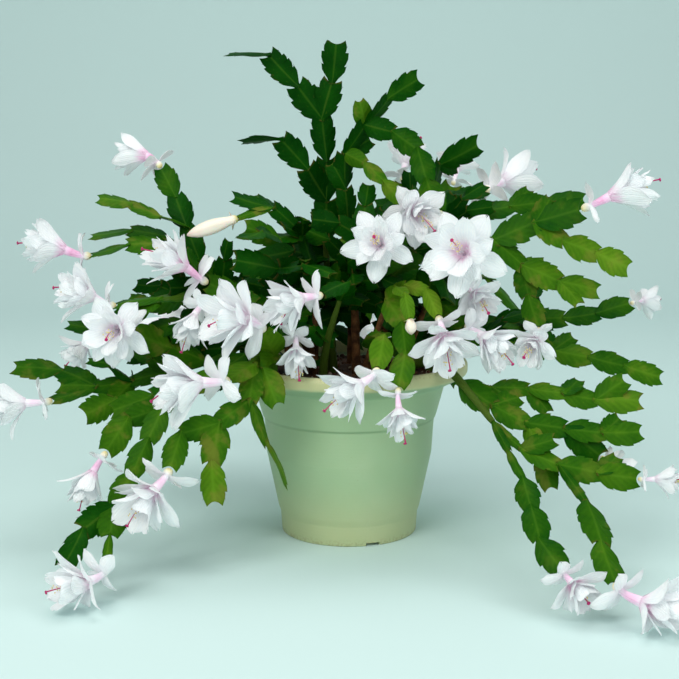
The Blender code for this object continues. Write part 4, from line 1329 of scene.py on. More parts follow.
def side_vector(along: Vector, face: Vector) -> Vector:
    """Find the direction across a blade.

    Args:
        along: The direction that it runs in.
        face: The direction that it faces.

    Returns:
        The direction across it.
    """
    across = along.cross(face)
    if across.length < 0.15:  # it runs straight towards the way it faces
        across = along.cross(Vector((0.3, 1.0, 0.2)))
    return across.normalized()


class Axis:
    """The curved middle line of a bloom or bud, with a frame that follows it."""

    TOPS = (Vector((0.05, 0.1, 1.0)).normalized(), Vector((0.1, 1.0, 0.2)).normalized())
    NEAR = 0.02
    BENDS = (0.22, 0.42)  # how far its ends run on straight, as parts of its length

    def __init__(self, start: Vector, heading: Vector, middle: Vector, mouth: Vector) -> None:
        """Lay the line from a chain's end through the bloom to its mouth.

        Args:
            start: Where it starts.
            heading: The chain's direction there.
            middle: A point that it passes near.
            mouth: Where it ends.
        """
        self.length = (middle - start).length + (mouth - middle).length
        out = (mouth - middle).normalized()
        first, second = heading * self.length * self.BENDS[0], out * self.length * self.BENDS[1]
        self.knots = (start, start + first, mouth - second, mouth)
        lines = [self.along(step / 4) for step in range(5)]
        self.top = min(self.TOPS, key=lambda top: max(abs(line.dot(top)) for line in lines))

    def at(self, part: float) -> Vector:
        """Return the point at a part of the line.

        Args:
            part: From 0 at the start to 1 at the mouth; the line goes straight on past it.

        Returns:
            The point.
        """
        a, b, c, d = self.knots
        if part > 1.0:
            return d + (d - c).normalized() * (part - 1.0) * self.length
        rest = 1.0 - part
        near, far = b * (3 * rest * rest * part), c * (3 * rest * part * part)
        return a * rest ** 3 + near + far + d * part ** 3

    def along(self, part: float) -> Vector:
        """Return the direction of the line at a part of it."""
        return (self.at(part + self.NEAR) - self.at(max(part - self.NEAR, 0.0))).normalized()

    def frame(self, part: float) -> tuple:
        """Find the frame that follows the line.

        Args:
            part: The part of the line.

        Returns:
            The line's direction there, and two directions across it.
        """
        along = self.along(part)
        top = (self.top - along * self.top.dot(along)).normalized()
        return along, top, along.cross(top)

    def beside(self, part: float, angle: float, radius: float) -> Vector:
        """Return the point at a part of the line, out from it at an angle."""
        _, top, side = self.frame(part)
        return self.at(part) + (top * math.cos(angle) + side * math.sin(angle)) * radius


# ---- segments and stems ----
LEAF_SHARP = 38.0


@dataclass(frozen=True)
class SegmentShape:
    """One form of flat segment: half width 1 along X, length 1 along Y, thickness in mm along Z."""

    seed: int
    teeth: int
    depth: float
    bend: float
    roundness: float = 0.0

    # A tooth's outline: places along it, how deep each is cut, and how far each is moved up.
    TOOTH = ((0.0, 1.0, 0.0), (0.3, 0.55, 0.0), (0.68, 0.12, 0.0), (1.0, 0.0, 0.035))
    COLUMNS = (-1.0, -0.78, -0.48, -0.18, 0.0, 0.18, 0.48, 0.78, 1.0)
    # Places along the outline, and its half widths there where it is slim and where it is round.
    PLACES = (0.0, 0.07, 0.16, 0.32, 0.5, 0.64, 0.8, 0.92, 1.0)
    WIDTHS = (
        (0.2, 0.28, 0.52, 0.82, 0.97, 1.0, 0.95, 0.84, 0.66),
        (0.2, 0.34, 0.66, 0.93, 1.0, 0.97, 0.86, 0.66, 0.42),
    )
    NECK = 0.14
    HAIR = (0.07, 0.055, 0.35)
    HAIR_FOOT = (0.012, 0.004, 0.14)

    def width(self, part: float) -> float:
        """Return the half width of the untoothed outline at a part of the length."""
        slim, full = (np.interp(part, self.PLACES, row) for row in self.WIDTHS)
        return float(slim + (full - slim) * self.roundness)

    def margin(self, draw: random.Random) -> list:
        """Draw one toothed side.

        Args:
            draw: The shape's random numbers.

        Returns:
            The (place, half width) points, from the foot to the tip.
        """
        ends = [self.NECK + (1.0 - self.NECK) * (index + 1) / self.teeth
                for index in range(self.teeth - 1)]
        ends = [self.NECK] + [end + draw.uniform(-0.04, 0.04) for end in ends] + [1.0]
        side = [(place, self.width(place)) for place in self.PLACES[:2]]
        for low, high in zip(ends, ends[1:]):
            depth = self.depth * draw.uniform(0.7, 1.2) * (0.5 if low == ends[0] else 1.0)
            for part, cut, lift in self.TOOTH:
                place = low + (high - low) * part
                cut *= depth * (0.4 if low == ends[0] else 1.0)
                lift *= 2.4 if high == 1.0 and part == 1.0 else 1.3
                side.append((place + lift, self.width(min(place, 1.0)) - cut))
        return side

    def rise(self, across: float, part: float, wave: float) -> float:
        """Bend the blade out of its plane.

        Args:
            across: The place across it, from -1 to 1.
            part: The place along it.
            wave: Where its ripple starts.

        Returns:
            How far it bends out, in mm.
        """
        bow = self.bend * math.sin(math.pi * part) * 0.5
        cup = -0.9 * abs(across) ** 2 * math.sin(math.pi * min(part * 1.1, 1.0))
        return bow + cup + 0.45 * math.sin(9.0 * part + wave) * across

    def thickness(self, across: float, part: float) -> float:
        """Give the blade a thick midrib and neck, and thin margins.

        Args:
            across: The place across it, from -1 to 1.
            part: The place along it.

        Returns:
            Its half thickness in mm.
        """
        blade = 0.62 * (1.0 - abs(across) ** 3)
        rib = 0.72 * math.exp(-((across / 0.2) ** 2)) * (1.0 - 0.45 * part)
        neck = 1.1 * math.exp(-((part / 0.07) ** 2)) * (1.0 - across * across)
        return blade + rib + neck

    def build(self) -> Object:
        """Build the segment, 1000 times too large for the shell's millimetres.

        Returns:
            The segment as an object of length 1 m.
        """
        draw = random.Random(self.seed)
        left, right = self.margin(draw), self.margin(draw)
        wave = draw.uniform(0.0, math.tau)
        shell = Shell("along", "across")
        rows = []
        for (low, narrow), (high, wide) in zip(left, right):
            row = []
            middle = min(0.5 * (low + high), 0.97)
            for across in self.COLUMNS:
                edge, width = (low, narrow) if across < 0.0 else (high, wide)
                place = middle + (edge - middle) * across * across
                rise, half = self.rise(across, place, wave), self.thickness(across, place)
                row.append([
                    shell.add(Vector((across * width / MM, place / MM, (rise + lift) / MM)),
                              along=min(place, 1.0), across=across)
                    for lift in (half, -half)
                ])
            rows.append(row)
        shell.blade(rows)
        for notch in (-2, 5):
            for side, (place, width) in ((-1.0, left[notch]), (1.0, right[notch])):
                root = Vector((side * width, place, self.rise(side, place, wave)))
                self.bristle(shell, root, side)
        return shell.item(f"segment_{self.seed:02d}", sharp=LEAF_SHARP)

    def bristle(self, shell: Shell, root: Vector, side: float) -> None:
        """Add the short stiff hair that stands in a notch of the margin.

        Args:
            shell: What the hair is added to.
            root: Where it stands.
            side: 1 on the right, -1 on the left.
        """
        out, up, lift = self.HAIR
        wide, deep, high = self.HAIR_FOOT
        tip = root + Vector((side * out, up, lift))
        base = []
        for angle in turns(3):
            foot = Vector((wide * math.cos(angle), deep * math.sin(angle), high * math.sin(angle)))
            base.append(shell.add((root + foot) / MM, along=1.0))
        top = shell.add(tip / MM, along=1.0)
        shell.faces += [(foot, base[(index + 1) % 3], top) for index, foot in enumerate(base)]
        shell.faces.append(tuple(reversed(base)))


SEGMENT_SHAPES = (
    SegmentShape(0, 3, 0.26, 2.0), SegmentShape(1, 3, 0.30, -1.5), SegmentShape(2, 4, 0.24, 2.5),
    SegmentShape(3, 3, 0.18, 1.6, 0.4), SegmentShape(4, 3, 0.14, -1.8, 0.6),
    SegmentShape(5, 2, 0.18, 1.5, 0.3), SegmentShape(6, 4, 0.17, 2.2, 0.45),
    SegmentShape(7, 2, 0.08, 1.2, 0.85), SegmentShape(8, 2, 0.05, -1.0, 1.0),
)


@dataclass
class StemPiece:
    """A trunk with its chains of toothed segments, grown along the joints of its solid."""

    plan: Stem
    growth: Growth

    SINK = 13.0
    HALF_WIDTH = 12.0
    LENGTH = 34.0
    OVERLAP = 2.2
    WOBBLE = 0.3
    SLIM = 0.36
    TIP_TONE = 0.06
    TAPER = 0.5
    YOUNG_TONE = 0.75
    GREEN_FROM = 190.0
    GREEN_OVER = 60.0
    TRUNK_PARTS = (0.0, 0.25, 0.5, 0.75, 1.0)
    FILL_FRONT = 195.0
    FILL_SCALE = 0.95
    FILL_FACES = (Face.FRONT, Face.TILT, Face.HALF, Face.UP)
    DROOP = Vector((0.0, 0.0, -0.35))
    SIDE_CHANCE = 0.45
    SIDE_LENGTHS = (20.0, 27.0)
    SIDE_SCALE = 0.9

    def trunk_route(self) -> tuple:
        """Lay the trunk from below the soil to its last point.

        Returns:
            Its points, radii and tones.
        """
        x, y = self.plan.hole
        knots = [Vector((x, y, SOIL_TOP - self.SINK)), Vector((x, y, SOIL_TOP + 4.0))]
        knots += [Vector(point) for point in self.plan.trunk]
        route = through(knots, 4 * len(knots))
        draw = random.Random(self.plan.name + " bark")
        radii = [self.plan.radius * part * draw.uniform(0.93, 1.04)
                 for part in np.linspace(1.0, self.TAPER, len(route))]
        young = self.YOUNG_TONE if self.plan.young else 0.0
        tones = [young + 0.6 * max(0.0, (point.z - self.GREEN_FROM) / self.GREEN_OVER)
                 for point in route]
        return route, radii, tones

    def undergrowth(self, seeds: Seeds) -> None:
        """Fill the dark middle of the plant with short side shoots by rule.

        Args:
            seeds: What the segments are added to.
        """
        rule = self.plan.fill.value
        draw = random.Random(self.plan.name + " undergrowth")
        low, high = Vector(self.plan.trunk[0]), Vector(self.plan.trunk[-1])
        places = [low.lerp(high, part) for part in self.TRUNK_PARTS]
        for joints in JOINTS[self.plan.name].values():
            places += joints[1:4]
        places = [place for place in places if rule.allows(place)]
        for index in range(min(rule.count, 3 * len(places))):
            start = draw.choice(places)
            near = -0.9 if start.z > self.FILL_FRONT else -0.1
            way = (draw.gauss(0.0, 0.8), draw.uniform(near, 0.9), draw.uniform(-0.25, 0.9))
            way = Vector(way).normalized()
            length = draw.uniform(*rule.lengths)
            middle = start + way * length
            joints = [start, middle, middle + (way + self.DROOP) * length]
            face = draw.choice(self.FILL_FACES)
            name = f"{self.plan.name}_fill_{index}"
            tone = draw.uniform(0.02, 0.22) + rule.tone
            self.add_shoot(seeds, Shoot(name, 2, face, tone, scale=self.FILL_SCALE), joints)

    def side_leaves(self, seeds: Seeds) -> None:
        """Set single side segments on some joints of the long outer chains by rule.

        Args:
            seeds: What the segments are added to.
        """
        for shoot in self.plan.shoots:
            draw = random.Random(shoot.name + " side")
            joints = JOINTS[self.plan.name][shoot.name]
            if shoot.segments < 3 or shoot.bare:
                continue
            for index in range(1, shoot.segments):
                start, along = joints[index], (joints[index + 1] - joints[index]).normalized()
                if draw.random() > self.SIDE_CHANCE or index in shoot.slim:
                    continue
                across = side_vector(along, Vector(shoot.face.value).normalized())
                lean = across * (draw.choice((-1.0, 1.0)) * draw.uniform(0.7, 1.1))
                back = Vector((0.0, draw.uniform(-0.2, 0.5), 0.0))
                way = (along + lean + back).normalized()
                ends = [start, start + way * draw.uniform(*self.SIDE_LENGTHS)]
                name = f"{shoot.name}_side_{index}"
                leaf = Shoot(name, 1, shoot.face, shoot.tone - 0.05, scale=self.SIDE_SCALE)
                self.add_shoot(seeds, leaf, ends)

    def add_shoot(self, seeds: Seeds, shoot: Shoot, joints: list) -> None:
        """Set a shape on each segment of a shoot.

        Args:
            seeds: What the segments are added to.
            shoot: The shoot.
            joints: The points where its segments meet.
        """
        look = random.Random(shoot.name + " look")
        for index, (start, end) in enumerate(zip(joints, joints[1:])):
            draw = random.Random(f"{shoot.name} {index}")
            wobble = Vector([draw.uniform(-self.WOBBLE, self.WOBBLE) for _ in range(3)])
            last = index == shoot.segments - 1
            face = shoot.last_face if last and shoot.last_face else shoot.face
            along, length = (end - start).normalized(), (end - start).length
            across = side_vector(along, Vector(face.value).normalized() + wobble)
            normal = across.cross(along)
            half = self.HALF_WIDTH * shoot.scale
            half *= min(1.12, 0.35 + 0.65 * length / self.LENGTH)
            half *= draw.uniform(0.9, 1.08) * (self.SLIM if index in shoot.slim else 1.0)
            if look.random() < 0.5:
                across, normal = -across, -normal
            turn = Matrix((across, along, normal)).transposed().to_quaternion()
            tip = self.TIP_TONE if last else 0.0
            seeds.put(
                start - along * self.OVERLAP, turn=tuple(turn),
                shape=look.choice(shoot.margin.value),
                stretch=(MM * half * look.uniform(1.0, 1.08), MM * (length + self.OVERLAP), MM),
                tone=min(1.0, max(0.0, shoot.tone + look.uniform(-0.09, 0.09) + tip)),
                age=max(0.0, 1.0 - (index + look.uniform(0.0, 0.6)) / 3.0),
            )

    def build(self) -> None:
        """Grow the piece and hand it in for the stem's solid."""
        seeds = Seeds()
        seeds.strand(*self.trunk_route(), age=1.0)
        for shoot in self.plan.shoots:
            self.add_shoot(seeds, shoot, JOINTS[self.plan.name][shoot.name])
        self.undergrowth(seeds)
        self.side_leaves(seeds)
        item = self.growth.grow(self.plan.name + "_leafy", seeds, LEAF_SHARP)
        dress(item, "leaf_green", self.plan.name)


# ---- blooms and buds ----
BROAD = ((0.0, 0.36), (0.15, 0.50), (0.35, 0.76), (0.55, 0.95), (0.74, 1.0), (0.87, 0.88),
         (0.95, 0.6), (1.0, 0.14))
LANCE = ((0.0, 0.42), (0.15, 0.58), (0.35, 0.84), (0.55, 1.0), (0.7, 0.98), (0.83, 0.8),
         (0.93, 0.5), (1.0, 0.10))
BLUNT = ((0.0, 0.55), (0.15, 0.70), (0.35, 0.92), (0.55, 1.0), (0.72, 0.94), (0.86, 0.70),
         (0.95, 0.4), (1.0, 0.08))


@dataclass(frozen=True)
class PetalRing:
    """The petals of a whorl; flare and curl are a base and a share of the bloom's openness."""

    place: float
    length: float
    half: float
    flare: tuple
    curl: tuple
    lean: float
    fullness: float
    widths: tuple
    cup: float
    ripple: float
    blush: float


class Whorl(Enum):
    """The four rings of petals, from the ovary to the mouth."""

    OUTER = PetalRing(0.17, 21.5, 5.6, (1.05, 0.3), (1.0, 0.0), 0.0, 1.1, BLUNT, -0.12, 0.25, 0.35)
    MIDDLE = PetalRing(0.455, 28.5, 6.8, (0.25, 0.75), (0.5, 0.0), 0.0, 1.15, LANCE, 0.16, 0.5,
                       0.75)
    INNER = PetalRing(0.53, 27.0, 7.6, (0.06, 0.3), (0.0, 0.2), 0.4, 1.15, BROAD, 0.30, 0.6, 1.0)
    FULL = PetalRing(0.5, 25.0, 5.6, (0.16, 0.52), (0.1, 0.15), 0.75, 1.15, LANCE, 0.10, 0.7, 0.9)


@dataclass
class BloomPiece:
    """A flower: ovary, hollow tube, four whorls of thin petals, stamens and style."""

    plan: Bloom
    petal: Material
    threads: Growth

    LENGTH = 56.0
    SAG = 0.55
    SAG_FREE = 1.35
    PETALS = 5
    PETAL_SPACE = 0.68
    KNEE = 0.55
    TUBE_SIDES = 16
    ROWS = (0.0, 0.1, 0.24, 0.4, 0.55, 0.68, 0.79, 0.88, 0.95, 1.0)
    COLUMNS = (-1.0, -0.8, -0.52, -0.22, 0.0, 0.22, 0.52, 0.8, 1.0)
    TUBE = ((0.0, 0.5), (0.004, 1.5), (0.03, 2.4), (0.07, 3.1), (0.11, 3.2), (0.145, 2.7),
            (0.165, 2.2), (0.2, 2.3), (0.28, 2.6), (0.36, 3.0), (0.43, 3.4), (0.49, 3.8),
            (0.545, 4.1))
    THROAT = ((0.55, 3.9), (0.54, 3.4), (0.51, 2.7), (0.48, 1.9), (0.46, 1.0), (0.455, 0.2))
    FILAMENTS = 17
    SHARP = 70.0
    TUBE_RIBS = 0.05
    OVARY_END = 0.16
    THROAT_BLUSH = 0.6
    PINK_PLACE = 0.33
    PINK_REACH = 0.26
    FILAMENT_FOOT = 0.4
    FILAMENT_ENDS = (0.76, 0.95)
    FAN_FOOT = 1.3
    FAN_SPREAD = (0.4, 2.4)
    FILAMENT_RADII = (0.28, 0.26, 0.24, 0.22, 0.2, 0.18)
    ANTHER = (0.55 * MM, 0.55 * MM, 0.8 * MM)
    STYLE_FOOT = 0.36
    STYLE_END = 1.05
    STYLE_OFFSET = 0.4
    STYLE_RADII = (0.5, 0.48, 0.46, 0.44, 0.42, 0.42, 0.45, 0.6)
    STYLE_TONES = (0.2, 0.2, 0.25, 0.35, 0.5, 0.7, 0.9, 1.0)
    STIGMA = (0.85 * MM, 0.85 * MM, 0.95 * MM)
    STIGMA_LOBES = 6
    STIGMA_RADIUS = 0.75

    def __post_init__(self) -> None:
        """Lay the bloom's middle line."""
        plan = self.plan
        end, heading = shoot_end(plan.shoot)
        start = end + heading * BLOOM_GAP
        self.axis = Axis(start, heading, Vector(plan.middle), Vector(plan.mouth))
        self.size = plan.size * min(1.1, max(0.75, self.axis.length / self.LENGTH))
        self.look = random.Random(plan.name + " look")

    def add_tube(self, shell: Shell) -> None:
        """Add the ovary and the tube, with its throat.

        Args:
            shell: What they are added to.
        """
        rows = []
        for index, (part, radius) in enumerate(self.TUBE + self.THROAT):
            throat = index > len(self.TUBE)
            pink = max(0.0, 1.0 - abs(part - self.PINK_PLACE) / self.PINK_REACH)
            row = []
            for angle in turns(self.TUBE_SIDES):
                bulge = 1.0 + self.TUBE_RIBS * math.cos(self.PETALS * angle) * (part > 0.2)
                row.append(shell.add(
                    self.axis.beside(part, angle, radius * bulge * self.size), along=part,
                    across=math.cos(angle),
                    blush=self.plan.blush * (self.THROAT_BLUSH if throat else pink),
                    green=max(0.0, 1.0 - part / self.OVARY_END),
                ))
            rows.append(row)
        shell.barrel(rows)

    def add_petal(self, shell: Shell, root: Vector, ways: tuple, across: Vector, size: tuple,
                  ring: PetalRing) -> None:
        """Add one petal that bends from one direction into another.

        Args:
            shell: What the petal is added to.
            root: Where it leaves the tube.
            ways: Its first and second directions.
            across: The direction across it.
            size: Its length and half width.
            ring: Its whorl's petals.
        """
        length, half = size
        knee = root + ways[0] * length * self.KNEE
        tip = knee + ways[1] * length * (1.0 - self.KNEE)
        draw = self.look
        roll, phase = draw.uniform(-0.45, 0.45), draw.uniform(0.0, math.tau)
        cup = ring.cup + draw.uniform(-0.1, 0.1)
        nod = draw.uniform(-0.05, 0.14)
        swing = draw.uniform(-0.13, 0.13) * length
        rows = []
        for part in self.ROWS:
            rest = 1.0 - part
            centre = root * rest * rest + knee * (2.0 * rest * part) + tip * part * part
            tangent = ((knee - root) * rest + (tip - knee) * part).normalized()
            inner = tangent.cross(across).normalized()
            level, sway = math.cos(roll * part), math.sin(roll * part)
            wide, lift = across * level + inner * sway, inner * level - across * sway
            width = half * float(np.interp(part, *zip(*ring.widths)))
            width *= 1.0 + 0.07 * math.sin(11.0 * part + phase) * part
            deep = max(0.0, 1.0 - part / 0.42) * ring.blush * self.plan.blush
            row = []
            for column in self.COLUMNS:
                cupped = cup * column * column * width
                ripple = ring.ripple * part * column * math.sin(7.0 * part + 2.2 * column + phase)
                ripple += 0.34 * math.sin(8.5 * column + phase) * math.sin(math.pi * part)
                crease = -0.25 * math.exp(-((column / 0.15) ** 2)) * rest
                hook = nod * part * part * length * (1.0 - abs(column) * 0.5)
                thick = 0.22 * (1.0 - column * column) * min(1.0, 6.0 * part * rest + 0.1)
                notch = tangent * (0.05 * length * part ** 6 * math.sin(6.0 * column + phase))
                spot = centre + notch + wide * (column * width + swing * part * part)
                spot += lift * (cupped + ripple + crease + hook)
                row.append(shell.pair(spot, lift * thick, along=part, across=column, blush=deep))
            rows.append(row)
        shell.blade(rows)

    def add_whorl(self, shell: Shell, ring: PetalRing, sag: Vector, draw: random.Random,
                  bare: int) -> None:
        """Add a ring of petals, each as its solid's petal lies.

        Args:
            shell: What the petals are added to.
            ring: The whorl's petals.
            sag: How strongly the petals hang.
            draw: The solid's own random numbers.
            bare: The side of the tube that has no petal, or -1.
        """
        spread, axis = self.plan.spread, self.axis
        along, top, side = axis.frame(ring.place)
        sag = sag - along * sag.dot(along)
        radius = float(np.interp(ring.place, *zip(*self.TUBE))) * self.size
        for index, angle in enumerate(turns(self.PETALS, 0.5)):
            if index == bare:
                continue
            outward = top * math.cos(angle) + side * math.sin(angle)
            root = axis.at(ring.place) + outward * (radius - 0.5)
            lean = along.cross(outward) * math.sin(ring.lean)
            outward = outward * math.cos(ring.lean) + lean
            flare = ring.flare[0] + ring.flare[1] * spread
            flare *= (1.0 - 0.16 * outward.z) * draw.uniform(0.92, 1.08)
            bent = flare + ring.curl[0] + ring.curl[1] * spread
            length = ring.length * self.size * draw.uniform(0.9, 1.1)
            reach = radius + 0.55 * length * math.sin(flare)
            half = ring.half * self.size * draw.uniform(0.92, 1.05)
            half = min(half, reach * self.PETAL_SPACE) * ring.fullness
            hang = sag * (0.5 + 0.5 * outward.dot(sag.normalized()))
            first = along * math.cos(flare) + outward * math.sin(flare) + hang * 0.4
            second = along * math.cos(bent) + outward * math.sin(bent) + hang
            self.add_petal(shell, root, (first.normalized(), second.normalized()),
                           along.cross(outward), (length, half), ring)

    def build_petals(self) -> None:
        """Build the petals and the tube and hand them in for the bloom's solid."""
        shell = Shell("along", "across", "blush", "green")
        self.add_tube(shell)
        draw = random.Random(self.plan.name)
        bare = draw.choice((2, 3))
        sag = Vector((0.0, 0.0, self.SAG * (self.plan.spread - self.SAG_FREE)))
        for whorl in Whorl:
            self.add_whorl(shell, whorl.value, sag, draw, bare if whorl is Whorl.OUTER else -1)
        item = shell.item(self.plan.name + "_petals", self.petal, sharp=self.SHARP)
        settle(item.data)
        dress(item, "petal_white", self.plan.name)

    def strand_route(self, foot: float, end: float, radii: tuple, angle: float, fan: tuple) -> list:
        """Return the points of a filament or style, one for each of its radii.

        Args:
            foot: The part of the bloom's line where it starts.
            end: The part where it ends.
            radii: Its radii.
            angle: Which side of the line it stands on.
            fan: Its distance from the line at its foot, and how much further out it ends.

        Returns:
            The points.
        """
        last = len(radii) - 1
        return [self.axis.beside(foot + (end - foot) * step / last, angle,
                                 fan[0] + fan[1] * (step / last) ** 2) for step in range(last + 1)]

    def build_threads(self) -> None:
        """Grow the stamens, with an anther on each filament, and the style with its stigma."""
        seeds, draw = Seeds(), self.look
        for turn in turns(self.FILAMENTS):
            angle = turn + draw.uniform(-0.2, 0.2)
            end = draw.uniform(*self.FILAMENT_ENDS)
            fan = (self.FAN_FOOT, draw.uniform(*self.FAN_SPREAD) * self.size)
            route = self.strand_route(self.FILAMENT_FOOT, end, self.FILAMENT_RADII, angle, fan)
            seeds.strand(route, self.FILAMENT_RADII)
            seeds.put(route[-1], part=1.0, stretch=self.ANTHER)
        reach = self.STYLE_END - 0.03 * draw.random()
        fan = (self.STYLE_OFFSET, 0.0)
        style = self.strand_route(self.STYLE_FOOT, reach, self.STYLE_RADII, 1.0, fan)
        seeds.strand(style, self.STYLE_RADII, self.STYLE_TONES)
        for angle in turns(self.STIGMA_LOBES):
            spot = self.axis.beside(reach + 0.008, angle, self.STIGMA_RADIUS)
            seeds.put(spot, tone=1.0, stretch=self.STIGMA)
        item = self.threads.grow(self.plan.name + "_stamens", seeds)
        dress(item, "petal_white", self.plan.name)

    def build(self) -> None:
        """Build the whole flower."""
        self.build_petals()
        self.build_threads()


@dataclass
class BudPiece:
    """A closed bud: overlapping sepals wound into a pointed spindle, with scales at its foot."""

    plan: Bud
    finish: Material

    SIDES = 20
    SEPALS = 4.0
    TWIST = 5.0
    LOBES = 0.07
    BEND = 0.12
    PROFILE = ((0.0, 0.30), (0.02, 0.50), (0.08, 0.62), (0.15, 0.60), (0.24, 0.66), (0.38, 0.86),
               (0.52, 0.99), (0.64, 1.0), (0.76, 0.9), (0.86, 0.7), (0.94, 0.42), (0.985, 0.2),
               (1.0, 0.06))
    SCALES = ((0.5, 0.85), (2.5, 1.3), (4.3, 0.7))
    SCALE_PLACE = 0.1
    SCALE_WIDTHS = ((0.0, 0.20), (0.3, 0.26), (0.6, 0.2), (0.85, 0.1), (1.0, 0.02))

    def build(self) -> None:
        """Build the bud and hand it in for its solid."""
        end, heading = shoot_end(self.plan.shoot)
        start, tip = end + heading * BLOOM_GAP, Vector(self.plan.tip)
        if self.plan.start:
            start = Vector(self.plan.start)
            heading = (tip - start).normalized()
        bend = start.lerp(tip, 0.5) + heading * (tip - start).length * self.BEND
        axis = Axis(start, heading, bend, tip)
        shell = Shell("along", "across")
        rows = []
        for part, radius in self.PROFILE:
            row = []
            for angle in turns(self.SIDES):
                fold = (angle * self.SEPALS + part * self.TWIST) % math.tau / math.tau
                lobe = 1.0 + self.LOBES * (fold - 0.5) * min(1.0, part * 4.0)
                row.append(shell.add(axis.beside(part, angle, radius * lobe * self.plan.radius),
                                     along=part, across=angle / math.tau))
            rows.append(row)
        shell.barrel(rows)
        for angle, length in self.SCALES:
            self.add_scale(shell, axis, angle, length * self.plan.radius)
        item = shell.item(self.plan.name + "_sepals", self.finish)
        settle(item.data)
        dress(item, "bud_cream", *([] if self.plan.start else [self.plan.name]))

    def add_scale(self, shell: Shell, axis: Axis, angle: float, length: float) -> None:
        """Add a small pointed scale that bends back from the base of the bud.

        Args:
            shell: What the scale is added to.
            axis: The bud's middle line.
            angle: Where on the bud it stands.
            length: Its length in mm.
        """
        along, upward, beside = axis.frame(self.SCALE_PLACE)
        outward = upward * math.cos(angle) + beside * math.sin(angle)
        across = along.cross(outward)
        root = axis.at(self.SCALE_PLACE) + outward * (self.plan.radius * 0.45)
        rows = []
        for part, width in self.SCALE_WIDTHS:
            spot = root + (along * (0.35 * part - 0.2 * part * part) + outward * part) * length
            thick, place = along * (0.12 * (1.2 - part)), 0.1 + 0.3 * part
            rows.append([
                shell.pair(spot + across * (column * width * length), thick, along=place,
                           across=column)
                for column in (-1.0, 0.0, 1.0)
            ])
        shell.blade(rows)


# ---- pot and soil ----
# The inside of the pot's wall, from its floor to its lip, as radius and height.
WALL_INSIDE = (
    (FOOT_RADIUS - WALL - 1.0, FLOOR), (COLLAR_FOOT_RADIUS - WALL - 1.2, COLLAR_FOOT_Z),
    (COLLAR_TOP_RADIUS - WALL, POT_HEIGHT - LIP_BAND - 8.0),
    (LIP_RADIUS - 11.0, POT_HEIGHT - LIP_BAND - 1.0),
)


def soften(profile: list, reach: float, steps: int = 3) -> list:
    """Return a profile with its corners rounded.

    Args:
        profile: Corners of (radius, height).
        reach: How far from a corner its rounding starts, in mm.
        steps: How many steps each rounding has.

    Returns:
        The rounded profile; its two ends stay.
    """
    corners = [Vector(corner) for corner in profile]
    rounded = [corners[0]]
    for before, corner, after in zip(corners, corners[1:], corners[2:]):
        back, onward = before - corner, after - corner
        start = corner + back * min(0.45, reach / max(back.length, 1e-6))
        end = corner + onward * min(0.45, reach / max(onward.length, 1e-6))
        for step in range(steps + 1):
            part = step / steps
            middle = corner * (2 * part * (1 - part))
            rounded.append(start * (1 - part) ** 2 + middle + end * part ** 2)
    return rounded + [corners[-1]]


